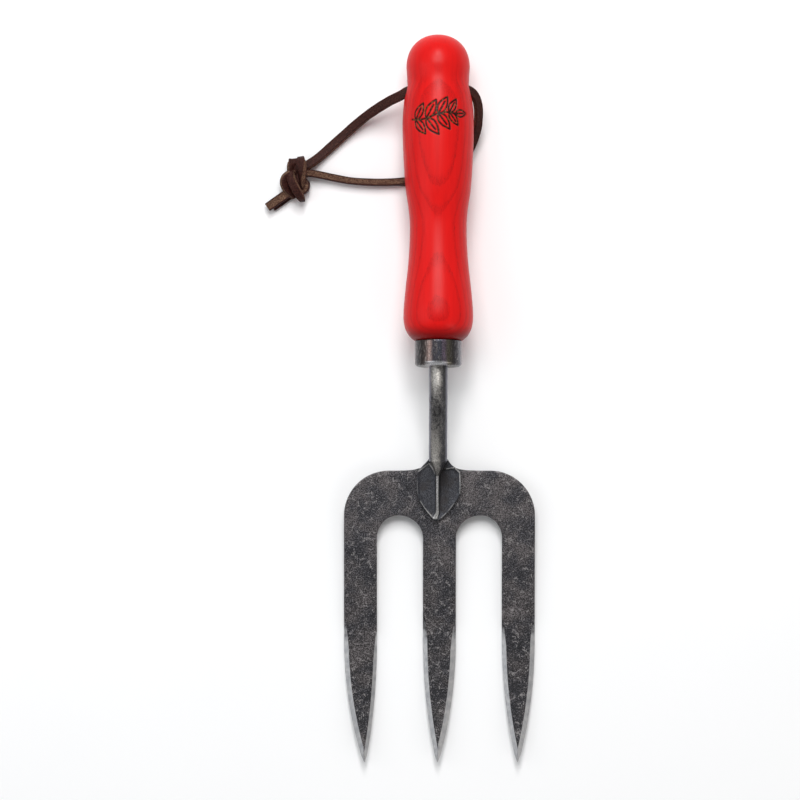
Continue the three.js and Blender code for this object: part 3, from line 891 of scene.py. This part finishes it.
def make_knot():
    verts, faces, cuts = [], [], []
    count = 0
    for number, entry in enumerate(KNOT_STRANDS):
        curve = catmull(np.array(entry["path"]) / KNOT_UNITS, KNOT_STEPS)
        size = len(curve)
        stops = np.atleast_1d(entry["width"]) / TENTHS
        at = np.linspace(0, len(stops) - 1, size)
        width = np.interp(at, np.arange(len(stops)), stops)
        width = width * (1 + ripple(size, number + 0.5, 0.03))
        thick = entry["thick"] / TENTHS * (1 + ripple(size, number + 2.5, 0.04))
        ends = entry.get("ends", (False, False))
        v, f, c = strand(curve[:, :3], curve[:, 3:], width, thick, ends)
        verts.append(v)
        faces += [tuple(i + count for i in face) for face in f]
        cuts.append(c * entry.get("tan", 1.0))
        count += len(v)
    obj = mesh_object("knot_turns", np.vstack(verts), faces, [LEATHER])
    add_attribute(obj, "cut", np.concatenate(cuts))
    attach(obj, "root")
    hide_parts("lace_knot")
    return obj


# Past the route's two ends each run goes on under the knot's top strand.
LEFT_TUCK = (-0.0600, 0.1022, 0.0046)
RIGHT_TUCK = (-0.0591, 0.1000, 0.0046)


def make_laces():
    left = LACE_ROUTE[: HOLE_MIDDLE][::-1] + [LEFT_TUCK]
    right = LACE_ROUTE[HOLE_MIDDLE:] + [RIGHT_TUCK]
    w, t = LACE_WIDTH, LACE_THICKNESS
    left_lace = make_lace(
        "lace_left",
        left,
        rolls=[(0, 0), (3, 4), (6, 12), (11, 22)],
        widths=[(0, w * 0.98), (3, w), (6, w * 0.93), (11, w * 0.90)],
        thicks=[(0, t * 0.9), (4, t * 0.92), (11, t * 0.86)],
    )
    right_lace = make_lace(
        "lace_right",
        right,
        rolls=[(0, 0), (2, -10), (4, -30), (8, -25), (11, 0), (13, 0), (15, -90), (20, -90)],
        widths=[(0, w * 0.95), (4, w * 0.84), (8, w * 0.84), (12, w * 0.95), (20, w * 0.95)],
        thicks=[(0, t * 0.9), (4, t * 0.84), (9, t * 0.9), (15, t * 1.02), (20, t * 1.02)],
    )
    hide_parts("lace")
    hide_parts("lace")


# ---------- handle ----------


def grip_radius(from_butt):
    """Radius of the turned handle at a distance from its butt."""
    p = extended(SWELLS)
    t = np.linspace(0, 1, 12, endpoint=False)[:, None]
    spans = []
    for p0, p1, p2, p3 in zip(p, p[1:], p[2:], p[3:]):
        spans.append(hermite(t, p1, p2, (p2 - p0) / 2, (p3 - p1) / 2))
    curve = np.vstack(spans + [p[-2:-1]])
    body = np.interp(from_butt, curve[:, 0], curve[:, 1])
    reach = np.clip(1 - np.asarray(from_butt) / DOME_LENGTH, 0, 1)
    dome = DOME_RADIUS * (1 - reach**DOME_POWER) ** (1 / DOME_POWER)
    return np.where(np.asarray(from_butt) < DOME_LENGTH, dome, body)


# The engraved sprig, in distances round the handle from its top and along it from the butt.
MOTIF_NEAR = 0.0287
MOTIF_FAR = 0.0472
MOTIF_REACH = 0.0136
MOTIF_LINE = 0.00046  # half the width of a line
MOTIF_DEPTH = 0.00028
MOTIF_STEP = 0.00016  # of the mesh under it
MOTIF_HALF = 0.0134  # reach of that mesh round the handle
GRIP_RADIUS = 0.0156
BACK_SIDES = 66  # round the rest of the handle
DOME_RINGS = 26
BORE_END = 0.02  # from the ferrule
MOUTH_SPARE = 0.0004
HOLE_SURFACE = 0.0141
CUTTER_END = 0.0185
CUTTER_SIDES = 48


def leaf_lines(base, angle, length, width):
    """The outline and midrib of a small pointed leaf that grows from base."""
    t = np.linspace(0, 1, 15)
    bulge = width / 2 * np.sin(np.pi * t**0.8) ** 0.9
    axis = np.array([math.cos(angle), math.sin(angle)])
    cross = np.array([-axis[1], axis[0]])
    middle = base + (t[:, None] * length) * axis
    rib = middle[:11]
    return [middle + bulge[:, None] * cross, middle - bulge[:, None] * cross, rib]


def sprig_lines():
    t = np.linspace(0, 1, 30)
    sway = 0.0390 - 0.0022 * t + 0.0009 * np.sin(2 * np.pi * t)
    stem = np.column_stack([-0.0128 + 0.0206 * t, sway])
    lines = [stem]
    for reach, length in ((0.10, 0.0080), (0.36, 0.0090), (0.62, 0.0084), (0.86, 0.0068)):
        base = np.array([np.interp(reach, t, stem[:, 0]), np.interp(reach, t, stem[:, 1])])
        for side in (1, -1):
            lines += leaf_lines(base, side * math.radians(57) - 0.08, length, length * 0.46)
    lines += leaf_lines(stem[-1], -0.10, 0.0058, 0.0031)
    return lines


SPRIG = sprig_lines()


def burn_level(round_top, from_butt):
    """1 in the middle of an engraved line, 0 off it."""
    spots = np.column_stack([round_top, from_butt])
    near = (np.abs(round_top) < MOTIF_REACH) & (from_butt > MOTIF_NEAR) & (from_butt < MOTIF_FAR)
    level = np.zeros(len(spots))
    p = spots[near]
    best = np.full(len(p), 1.0)
    for line in SPRIG:
        for a, b in zip(line, line[1:]):
            best = np.minimum(best, segment_distance(p, a, b))
    level[near] = 1 - smooth01(best, MOTIF_LINE * 0.45, MOTIF_LINE * 1.35)
    return level


def spaced(stops):
    """Positions through (start, step) pairs, up to the last start."""
    out = []
    for (a, step), (b, _) in zip(stops, stops[1:]):
        out += list(np.linspace(a, b, max(2, int(round((b - a) / step)) + 1))[:-1])
    return np.array(out + [stops[-1][0]])


def handle_stations():
    reach = np.sin(np.linspace(math.pi / 2, 0, DOME_RINGS)[1:])
    dome = DOME_LENGTH * (1 - reach)
    body = spaced(
        [
            (DOME_LENGTH, 0.0007),
            (MOTIF_NEAR, MOTIF_STEP),
            (MOTIF_FAR, 0.0009),
            (0.128, 0.0005),
            (HANDLE_LENGTH, 0),
        ]
    )
    return np.concatenate([dome, body[1:]])


def lathe(profile, angles):
    """Points of a turned shape, from rows of (distance along local Y, radius)."""
    profile = np.asarray(profile, float)
    y, r = profile[:, 0][:, None], profile[:, 1][:, None]
    points = np.stack([r * np.sin(angles), y + 0 * angles, r * np.cos(angles)], axis=2)
    return points.reshape(-1, 3)


def mouth_cutter(hole_along):
    """The lace hole with its flared mouths, as a turned shape about X."""
    start = HOLE_SURFACE - MOUTH_DEPTH - MOUTH_SPARE
    xs = np.concatenate([[0.0, start], np.linspace(start, CUTTER_END, 14)[1:]])
    flare = MOUTH_RADIUS - LACE_HOLE_RADIUS
    part = np.maximum(xs - start, 0) / (MOUTH_DEPTH + MOUTH_SPARE)
    radius = LACE_HOLE_RADIUS + flare * part**2
    xs = np.concatenate([-xs[::-1], xs[1:]])
    radius = np.concatenate([radius[::-1], radius[1:]])
    angles = full_turn(CUTTER_SIDES)
    x, r = xs[:, None], radius[:, None]
    y, z = hole_along + r * np.cos(angles), r * np.sin(angles)
    points = np.stack([x + 0 * angles, y, z], axis=2)
    return points.reshape(-1, 3), tube_faces(len(xs), CUTTER_SIDES, flipped=True)


def cut_away(obj, verts, faces):
    """Subtracts a closed shape from the object's mesh."""
    mesh = bpy.data.meshes.new("cutter")
    mesh.from_pydata(verts.tolist(), [], [list(map(int, f)) for f in faces])
    cutter = add_object("cutter", mesh)
    modifier = obj.modifiers.new("cut", "BOOLEAN")
    modifier.operation = "DIFFERENCE"
    modifier.solver = "EXACT"
    modifier.object = cutter
    depsgraph = bpy.context.evaluated_depsgraph_get()
    result = bpy.data.meshes.new_from_object(obj.evaluated_get(depsgraph))
    obj.modifiers.clear()
    obj.data = result
    bpy.data.objects.remove(cutter)


def make_handle():
    front = np.linspace(-1, 1, int(2 * MOTIF_HALF / MOTIF_STEP) + 1) * (MOTIF_HALF / GRIP_RADIUS)
    back = np.linspace(front[-1], 2 * math.pi + front[0], BACK_SIDES)[1:-1]
    angles = np.concatenate([front, back])
    stations = handle_stations()
    neck = FERRULE_RADIUS - FERRULE_WALL - GAP
    neck_end = -(FERRULE_LENGTH - FERRULE_BOTTOM - GAP)
    bore = SHANK_RADIUS + GAP
    rows = [(HANDLE_LENGTH - t, r) for t, r in zip(stations, grip_radius(stations))]
    rows += [(0, neck), (neck_end, neck), (neck_end, bore), (BORE_END, bore)]
    points = lathe(rows, angles)
    from_butt = np.repeat([HANDLE_LENGTH - y for y, _ in rows], len(angles))
    radius = np.repeat([r for _, r in rows], len(angles))
    wrapped = (np.tile(angles, len(rows)) + math.pi) % (2 * math.pi) - math.pi
    level = burn_level(wrapped * radius, from_butt)
    outward = np.stack([np.sin(wrapped), 0 * wrapped, np.cos(wrapped)], axis=1)
    points -= outward * (level * MOTIF_DEPTH)[:, None]
    sides = len(angles)
    faces = ring_faces(len(rows), sides)
    pole = len(points)
    end = pole + 1
    points = np.vstack([points, [[0, HANDLE_LENGTH, 0], [0, BORE_END, 0]]])
    last = (len(rows) - 1) * sides
    faces += [(pole, i, (i + 1) % sides) for i in range(sides)]
    faces += [(end, last + (i + 1) % sides, last + i) for i in range(sides)]
    obj = mesh_object("handle_turned", points, faces, [lacquered_wood()])
    hole_along = (LACE_HOLE_Y - HANDLE_FRAME.translation.y) / math.cos(HANDLE_TILT)
    cut_away(obj, *mouth_cutter(hole_along))
    mesh = obj.data
    local = np.empty(len(mesh.vertices) * 3)
    mesh.vertices.foreach_get("co", local)
    local = local.reshape(-1, 3)
    angle = np.arctan2(local[:, 0], local[:, 2])
    from_butt = HANDLE_LENGTH - local[:, 1]
    level = burn_level(angle * grip_radius(from_butt), from_butt)
    mesh.vertices.foreach_set("co", moved(local, HANDLE_FRAME).ravel())
    mesh.shade_smooth()
    mesh.set_sharp_from_angle(angle=math.radians(38))
    mesh.update()
    add_attribute(obj, "burn", level)
    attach(obj, "root")
    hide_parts("handle")


# ---------- ferrule ----------


FERRULE_SIDES = 96


def make_ferrule():
    inner = FERRULE_RADIUS - FERRULE_WALL
    edge = FERRULE_EDGE + 0.0004
    lip = 0.00025
    bore = SHANK_RADIUS + GAP
    bottom = FERRULE_BOTTOM - FERRULE_LENGTH
    rows = [(bottom, bore), (bottom, inner), (-GAP, inner)]
    for k in range(1, 5):
        angle = k * math.pi / 8
        out = FERRULE_RADIUS - lip * (1 - math.sin(angle))
        rows.append((-GAP - lip * (1 - math.cos(angle)), out))
    for y in np.linspace(-0.0012, edge - FERRULE_LENGTH, 8):
        rows.append((y, FERRULE_RADIUS))
    for k in range(1, 9):
        angle = k * math.pi / 16
        out = FERRULE_RADIUS - edge * (1 - math.cos(angle))
        rows.append((edge - FERRULE_LENGTH - edge * math.sin(angle), out))
    rows.append((-FERRULE_LENGTH, bore + 0.0004))
    rows.append((0.0003 - FERRULE_LENGTH, bore))
    sides = FERRULE_SIDES
    points = lathe(rows, full_turn(sides))
    faces = ring_faces(len(rows), sides)
    last = (len(rows) - 1) * sides
    faces += [(last + i, i, (i + 1) % sides, last + (i + 1) % sides) for i in range(sides)]
    obj = mesh_object("ferrule_cup", moved(points, HANDLE_FRAME), faces, [ferrule_steel()])
    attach(obj, "root")
    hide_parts("ferrule")


# ---------- plate and tines ----------

# For the left and the right side of each tine: how far from the point its bevel starts, and
# how wide it is.
BEVELS = [
    ((0.0638, 0.00205), (0.0576, 0.00150)),
    ((0.0669, 0.00190), (0.0629, 0.00230)),
    ((0.0640, 0.00190), (0.0660, 0.00200)),
]
BEVEL_RUN_IN = 0.013
POINT_LENGTH = 0.006
TIP_TRIM = 0.0004


def tine_half_width(from_tip):
    full = TINE_WIDTH / 2
    t = np.clip(from_tip / TAPER_LENGTH, 0, 1)
    return TIP_WIDTH / 2 + (full - TIP_WIDTH / 2) * (1 - (1 - t) ** 2)


def half_thickness(from_tip):
    """Half the thickness in the middle of a tine, which thins to its point."""
    half, thin = PLATE_THICKNESS / 2, GRIND_EDGE + 0.0002
    sloped = thin + (half - GRIND_EDGE - 0.0002) * from_tip / POINT_LENGTH
    return np.where(from_tip < POINT_LENGTH, sloped, half)


def tine_side(number, side):
    """Rows of the outline down one side of a tine: x, along, inward x, inward along, bevel
    width, how far the bevel is ground (0 to 1), half thickness in the middle."""
    centre = (number - 1) * TINE_SPREAD
    along = spaced([(FLAT_LENGTH, 0.0011), (0.122, 0.0007), (HEAD_LENGTH - 0.0002, 0)])
    from_tip = HEAD_LENGTH - along
    wide = tine_half_width(from_tip) - TIP_TRIM * smooth01(from_tip, 0.004, 0.0)
    drift = POINT_OFFSETS[number] * (1 - np.minimum(1, from_tip / TAPER_LENGTH)) ** 2
    start, full = BEVELS[number][0 if side < 0 else 1]
    ground = smooth01(start - from_tip, 0, BEVEL_RUN_IN * 0.35)
    run = np.clip((start - from_tip) / BEVEL_RUN_IN, 0, 1)
    width = ARRIS + (full - ARRIS) * run ** 0.7
    width = np.minimum(width, wide - 0.00004)
    half = half_thickness(from_tip)
    x = centre + drift + side * wide
    rows = np.column_stack([x, along, -side + 0 * x, 0 * x, width, ground, half])
    return rows if side < 0 else rows[::-1]


def plain_rows(points, step=0.001):
    """Rows of the outline where it isn't ground, through the points, with inward normals."""
    out = np.array(resampled(points, step) + [points[-1]])
    along = unit(np.gradient(out, axis=0))
    # the outline runs counterclockwise in x and -along, so it runs clockwise here
    normal = np.column_stack([along[:, 1], -along[:, 0]])
    size = len(out)
    rest = np.tile((ARRIS, 0, PLATE_THICKNESS / 2), (size, 1))
    return np.hstack([out, normal, rest])


def arc(cx, cy, rx, ry, start, stop, count):
    angle = np.radians(np.linspace(start, stop, count))
    return np.column_stack([cx + rx * np.cos(angle), cy - ry * np.sin(angle)])


def gap_rows(side):
    """The arch over a gap, from the left tine's side to the right tine's."""
    width = TINE_SPREAD - TINE_WIDTH
    arch = width / 2
    middle = side * TINE_SPREAD / 2
    top = middle + side * ARCH_SHIFT
    spring = ARCH_TOP + arch
    left = arc(top, spring, top - middle + arch, arch, 180, 90, 24)
    right = arc(top, spring, middle + arch - top, arch, 90, 0, 24)[1:]
    start = [(middle - arch, FLAT_LENGTH - 0.0008)]
    end = [(middle + arch, FLAT_LENGTH - 0.0008)]
    return plain_rows(np.vstack([start, left, right, end]), 0.0009)


def head_outline():
    """The whole outline, counterclockwise from the right end of the top edge."""
    corner = CORNER_RADIUS
    x = HEAD_HALF_WIDTH - corner
    left = arc(-x, corner, corner, corner, 90, 180, 36)
    right = arc(x, corner, corner, corner, 0, 90, 36)
    before = plain_rows(np.vstack([left, [(-HEAD_HALF_WIDTH, FLAT_LENGTH - 0.0008)]]))
    after = plain_rows(np.vstack([[(HEAD_HALF_WIDTH, FLAT_LENGTH - 0.0008)], right]))
    top = plain_rows([(x - 0.0005, 0), (0.0005 - x, 0)])
    parts = [top, before]
    for number in range(3):
        parts += [tine_side(number, -1), tine_side(number, 1)]
        if number < 2:
            parts.append(gap_rows((-1, 1)[number]))
    return np.vstack(parts + [after])


EDGE_STEPS = 5
HEAD_GRID = 0.0014  # between the points inside the outline
HEAD_GRID_CLEAR = 0.0007  # of it
GROUND_FROM = 0.12  # how far ground an edge is where the bare steel starts


def edge_rings(rows):
    """Loops of (x, along, z) from the inner edge of the upper face, round the edge, to the
    inner edge of the lower face."""
    x, along, nx, ny, width, ground, half = rows.T
    loops = []
    for k in range(EDGE_STEPS):
        t = k / (EDGE_STEPS - 1)
        angle = t * math.pi / 2
        round_in, round_drop = ARRIS * (1 - math.sin(angle)), ARRIS * (1 - math.cos(angle))
        inset = round_in * (1 - ground) + width * (1 - t) * ground
        drop = round_drop * (1 - ground) + (half - GRIND_EDGE) * t * ground
        if k == 0:
            inset = np.maximum(width, ARRIS)
        loops.append(np.column_stack([x + nx * inset, along + ny * inset, half - drop]))
    lower = [loop * (1, 1, -1) for loop in reversed(loops)]
    return loops + lower


def inside(polygon, points):
    """Which points are inside the closed polygon, by the crossing rule."""
    x, y = points[:, 0], points[:, 1]
    result = np.zeros(len(points), bool)
    for (x1, y1), (x2, y2) in zip(polygon, np.roll(polygon, -1, axis=0)):
        if y1 == y2:
            continue
        crosses = (y1 > y) != (y2 > y)
        result ^= crosses & (x < (x2 - x1) * (y - y1) / (y2 - y1) + x1)
    return result


def filled(loop, step, keep_off):
    """Interior points and triangles of the polygon. Triangles index the loop, then the points."""
    low, high = loop.min(0), loop.max(0)
    gx, gy = np.meshgrid(np.arange(low[0], high[0], step), np.arange(low[1], high[1], step))
    gx = gx + (np.arange(gx.shape[0]) % 2)[:, None] * step / 2
    grid = np.column_stack([gx.ravel(), gy.ravel()])
    grid = grid[inside(loop, grid)]
    grid = grid[nearest(grid, loop) > keep_off]
    points = [Vector(p) for p in np.vstack([loop, grid])]
    size = len(loop)
    edges = [(i, (i + 1) % size) for i in range(size)]
    out = delaunay_2d_cdt(points, edges, [], 1, 1e-9)
    source = [ids[0] if ids else -1 for ids in out[3]]
    triangles = [tuple(source[i] for i in face) for face in out[2]]
    return grid, [t for t in triangles if min(t) >= 0 and len(set(t)) == 3]


def facing(points2d, triangle):
    a, b, c = (points2d[i] for i in triangle)
    return (b[0] - a[0]) * (c[1] - a[1]) - (b[1] - a[1]) * (c[0] - a[0])


def bent(points):
    """Points in x, along, z moved onto the curved plate, in the head's frame."""
    y, z = plate_point(points[:, 1], points[:, 2])
    return np.column_stack([points[:, 0], y, z])


def make_head():
    rows = head_outline()
    rings = edge_rings(rows)
    size = len(rows)
    grid, triangles = filled(rings[0][:, :2], HEAD_GRID, HEAD_GRID_CLEAR)
    level = half_thickness(HEAD_LENGTH - grid[:, 1])
    upper = np.column_stack([grid, level])
    lower = np.column_stack([grid, -level])
    points = np.vstack(rings + [upper, lower])
    count = len(rings)
    # the loop runs clockwise in (x, along), so outward faces take the rings in this order
    faces, parts = [], []
    ground = rows[:, 5]
    for r in range(count - 1):
        for i in range(size):
            j = (i + 1) % size
            a, b = r * size + i, r * size + j
            faces.append((a, a + size, b + size, b))
            parts.append(int(max(ground[i], ground[j]) > GROUND_FROM))
    first = count * size
    flat = np.vstack([rings[0][:, :2], grid])
    for t in triangles:
        a, b, c = t if facing(flat, t) < 0 else t[::-1]
        top = [i if i < size else first + i - size for i in (a, b, c)]
        base = (count - 1) * size
        low = [base + i if i < size else first + len(grid) + i - size for i in (c, b, a)]
        faces += [top, low]
        parts += [0, 0]
    points[:, 0] += HEAD_SHIFT
    world = moved(bent(points), HEAD_FRAME)
    materials = [scale_steel(), ground_steel()]
    obj = mesh_object("head_plate", world, faces, materials, parts, crease=14)
    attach(obj, "root")
    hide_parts("fork_head")


# ---------- shank and its foot ----------


BAR_SIDES = 48
CRANK_POINTS = 60
STRAIGHT_POINTS = 12
BAR_RUN_ON = 0.0004  # into the foot


def bezier(p0, p1, p2, p3, count):
    t = np.linspace(0, 1, count)[:, None]
    return (1 - t) ** 3 * p0 + 3 * (1 - t) ** 2 * t * p1 + 3 * (1 - t) * t**2 * p2 + t**3 * p3


def make_bar():
    rest = PLATE_THICKNESS / 2 + GAP

    def in_handle(y):
        return moved([[0, y, 0]], HANDLE_FRAME)[0]

    def in_head(y, z):
        return moved([[0, y, z]], HEAD_FRAME)[0]

    down = in_handle(-1) - in_handle(0)
    along = in_head(-1, 0) - in_head(0, 0)
    start = in_handle(-CRANK_START)
    end = in_head(LEAF_SHOULDER, rest + SHANK_RADIUS)
    crank = bezier(start, start + down * CRANK_EASE, end - along * CRANK_EASE, end, CRANK_POINTS)
    bottom = in_handle(FERRULE_BOTTOM - FERRULE_LENGTH)
    straight = np.linspace(bottom, start, STRAIGHT_POINTS)[:-1]
    centre = np.vstack([straight, crank, [end + along * BAR_RUN_ON]])
    tangent = unit(np.gradient(centre, axis=0))
    side = np.array([1.0, 0, 0])
    up = np.cross(tangent, side)
    up *= -1 if up[0][2] < 0 else 1
    angles = full_turn(BAR_SIDES)
    t = np.linspace(0, 1, len(centre))
    radius = SHANK_RADIUS * (1 + 0.006 * np.sin(t * 23) + 0.004 * np.sin(t * 61 + 1))
    ring = np.cos(angles)[:, None] * side
    points = [c + r * (ring + np.sin(angles)[:, None] * u) for c, r, u in zip(centre, radius, up)]
    faces = tube_faces(len(centre), BAR_SIDES, flipped=True)
    obj = mesh_object("shank_bar", np.vstack(points), faces, [FORGED])
    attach(obj, "root")
    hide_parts("shank")


# The foot's outline in the head's frame, counterclockwise from the bar's right side.
LEAF_OUTLINE = metres(
    [
        (395, 580), (-395, 580), (-460, 470), (-620, 300), (-830, 80), (-900, -40), (-930, -300),
        (-940, -700), (-900, -1050), (-790, -1310), (-600, -1620), (-440, -1850), (-240, -2060),
        (-120, -2170), (20, -2180), (170, -2050), (340, -1880), (500, -1720), (660, -1500),
        (850, -1230), (980, -1000), (1010, -650), (990, -180), (950, 20), (820, 130), (660, 240),
        (540, 350), (460, 480),
    ],
    10 * TENTHS,
)

# Edges of the foot with painted highlights: two ends in the head's frame in tenths of a
# millimetre, then how bright each highlight is in hundredths.
LEAF_GLINTS = [
    (-86, 2, -42, 34, 60), (-40, 38, -21, 9, 100), (-21, 9, -12, -10, 50), (37, 11, 70, 18, 80),
    (76, 14, 96, -4, 90), (96, -4, 97, -45, 80), (97, -45, 97, -95, 35),
    (-78, -130, -58, -162, 40), (-58, -162, -20, -207, 50), (16, -203, 36, -184, 35),
    (48, -171, 70, -142, 30), (-92, -40, -91, -100, 15),
]
GLINT_UNITS = (TENTHS, TENTHS, TENTHS, TENTHS, 100)
GLINT_WIDTH = 0.00026
KEEL_SWAY = 0.0003
KEEL_END = 0.0207
LEAF_STEP = 0.00035  # along the outline
LEAF_GRID = 0.00022  # between the points inside it
LEAF_GRID_CLEAR = 0.00013  # of the outline
LEAF_INSET = 0.0002  # of the upper face from the outline
LEAF_ROUNDING = 0.00018  # of the upper edge
LEAF_CHAMFER = 0.0003  # of the lower edge
HOLLOW_DEPTH = (0.00125, 0.00085)  # right and left of the keel
LID_Y, LID_X, LID_SLOPE = 0.0012, 0.0033, 0.17  # the edge that closes the right hollow


def keel_line(y):
    """Where the middle of the keel is at a distance down the foot."""
    return -KEEL_SWAY * smooth01(-y, -0.005, 0.004) - 0.0009 * smooth01(-y, 0.0175, KEEL_END)


def leaf_height(x, y, inset):
    """Height of the foot's upper surface over its underside, and where that is the bar's end."""
    off = np.abs(x - keel_line(y))
    right = x > keel_line(y)
    depth = np.where(right, *HOLLOW_DEPTH) * (1 - 0.45 * smooth01(-y, 0.004, 0.018))
    depth *= 1 - np.where(right, 0.5 * smooth01(x, 0.003, 0.0088), 0)
    lid = smooth01(LID_Y + LID_SLOPE * (x - LID_X) - y, 0, 0.0007)
    lid = np.where(x > 0.0012, lid, 1)
    rim = smooth01(inset, 0.0003, 0.0017) * lid
    root = smooth01(off, 0.0004, 0.0019)
    wing = LEAF_THICKNESS - depth * rim * root
    keel_top = LEAF_THICKNESS + KEEL_HEIGHT * (1 - 0.55 * smooth01(-y, 0.012, KEEL_END))
    keel_half = KEEL_WIDTH / 2 * (1 + 0.7 * smooth01(-y, 0.017, KEEL_END))
    keel = keel_top - (keel_top - wing) * smooth01(off, keel_half * 0.65, keel_half * 1.75)
    keel = np.where(y < -KEEL_END - 0.0002, wing, keel)
    reach = LEAF_SHOULDER - 0.0004
    t = np.clip((reach - y) / (reach - TAPER_END), 0, 1)
    half = (SHANK_RADIUS + 0.00004) * (1 - t**0.8) + KEEL_WIDTH / 2 * t**0.8
    high = (SHANK_RADIUS + 0.00002) * (1 - t) + (LEAF_THICKNESS + KEEL_HEIGHT) / 2 * t
    round_end = high + high * np.sqrt(np.maximum(0, 1 - (off / half) ** 2))
    round_end = np.where((off < half) & (y > TAPER_END), round_end, 0)
    flat = np.maximum(wing, keel)
    return np.maximum(flat, round_end), round_end > flat


def leaf_loop():
    """The foot's outline with closely spaced points and softened corners."""
    outline = np.array(LEAF_OUTLINE)
    loop = np.array(resampled(np.vstack([outline, outline[:1]]), LEAF_STEP))
    kernel = np.array([1, 2, 3, 2, 1]) / 9
    for axis in (0, 1):
        padded = np.concatenate([loop[-2:, axis], loop[:, axis], loop[:2, axis]])
        loop[:, axis] = np.convolve(padded, kernel, "valid")
    return loop


def glints(spots):
    """How bright the painted highlight is at each point, from the edges it lies on."""
    level = np.zeros(len(spots))
    for row in np.array(LEAF_GLINTS) / GLINT_UNITS:
        away = segment_distance(spots, row[:2], row[2:4])
        lit = row[4] * (1 - smooth01(away, GLINT_WIDTH * 0.4, GLINT_WIDTH * 1.2))
        level = np.maximum(level, lit)
    return level


def make_leaf():
    loop = leaf_loop()
    size = len(loop)
    along = unit(np.roll(loop, -1, axis=0) - np.roll(loop, 1, axis=0))
    inner = loop + np.column_stack([-along[:, 1], along[:, 0]]) * LEAF_INSET
    grid, triangles = filled(inner, LEAF_GRID, LEAF_GRID_CLEAR)
    flat = np.vstack([inner, grid])
    top, bar = leaf_height(flat[:, 0], flat[:, 1], nearest(flat, loop))
    rest = PLATE_THICKNESS / 2 + GAP
    shoulder = rest + top[:size] - LEAF_ROUNDING
    rows = [
        np.column_stack([flat, rest + top]),
        np.column_stack([loop, shoulder]),
        np.column_stack([loop, rest + LEAF_CHAMFER + 0 * shoulder]),
        np.column_stack([inner, rest + 0 * shoulder]),
    ]
    base = len(flat)
    faces = [t if facing(flat, t) > 0 else t[::-1] for t in triangles]
    parts = [int(bar[list(t)].all()) for t in faces]
    loops = [np.arange(size)] + [base + k * size + np.arange(size) for k in range(3)]
    for first, second in zip(loops, loops[1:]):
        for i in range(size):
            j = (i + 1) % size
            faces.append((first[i], second[i], second[j], first[j]))
            parts.append(int(bar[i] and bar[j]))
    faces.append(tuple(reversed(loops[3])))
    parts.append(0)
    # Painted highlight along the top of the keel, which stops at the keel's end.
    fall = 1 - 0.6 * smooth01(-flat[:, 1], 0.012, KEEL_END)
    ridge = LEAF_THICKNESS + 0.82 * KEEL_HEIGHT * fall
    painted_glint = smooth01(top, ridge - 0.0006, ridge)
    painted_glint = painted_glint * smooth01(flat[:, 1], -KEEL_END - 0.0003, -KEEL_END + 0.0003)
    painted_glint = np.maximum(painted_glint, glints(flat))
    edge = glints(loop)
    painted_glint = np.concatenate([painted_glint, edge, edge * 0.5, 0 * edge])
    materials = [leaf_steel(), FORGED]
    world = moved(np.vstack(rows), HEAD_FRAME)
    obj = mesh_object("shank_foot", world, faces, materials, parts, crease=30)
    add_attribute(obj, "painted_glint", painted_glint)
    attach(obj, "root")
    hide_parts("shank")


def weld_metal():
    look = Look("weld_metal", metallic=0.6)
    place = look.coordinates(HEAD_FRAME)
    grain = look.noise(place, 1.6, 4.0, 0.6)
    colour = look.between(grain, 0.3, 0.7, (0.018, 0.018, 0.021), (0.090, 0.087, 0.087))
    rough = look.step(grain, 0.3, 0.7, 0.55, 0.40)
    return look.finish(colour, rough, grain, 0.00012)


WELD_START = 0.0078
WELD_LENGTH = 0.0087
WELD_HEIGHT = 0.0012


def make_side_weld(name, side, node, material):
    """A dressed fillet that runs out along the plate's top edge from the foot's shoulder."""
    steps, sides = 30, 14
    angles = np.linspace(0, math.pi, sides)
    rings = []
    for i in range(steps):
        t = i / (steps - 1)
        x = side * (WELD_START + WELD_LENGTH * t)
        high = WELD_HEIGHT * (1 - t) ** 2.6 + 0.00006
        high *= 1 + 0.05 * math.sin(17 * t + side)
        wide = PLATE_THICKNESS / 2 - ARRIS * (0.2 + 0.8 * t)
        z = wide * np.sign(np.cos(angles)) * np.abs(np.cos(angles)) ** 0.6
        y = 0.00004 + high * np.sin(angles) ** 0.7
        rings.append(np.column_stack([x + 0 * z, y, z]))
    faces = tube_faces(steps, sides, flipped=side > 0)
    obj = mesh_object(name, moved(np.vstack(rings), HEAD_FRAME), faces, [material])
    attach(obj, "root")
    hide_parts(node)


def make_welds():
    material = weld_metal()
    make_side_weld("weld_bead_left", -1, "weld_left", material)
    make_side_weld("weld_bead_right", 1, "weld_right", material)
    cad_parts["weld_back"].material_slots[0].material = material


def add_floor():
    size = FLOOR_HALF_SIZE
    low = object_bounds()[0][2] - FLOOR_DROP
    corners = [(-size, -size, low), (size, -size, low), (size, size, low), (-size, size, low)]
    obj = mesh_object("floor", corners, [(0, 1, 2, 3)], [floor_paper()])


LEATHER = leather()
FORGED = forged_steel()
add_camera()
KNOT = make_knot()
make_laces()
make_handle()
make_ferrule()
make_head()
make_bar()
make_leaf()
make_welds()
add_world()
for light in LIGHTS:
    add_softbox(*light)
bpy.context.scene.view_settings.view_transform = "Standard"
add_floor()
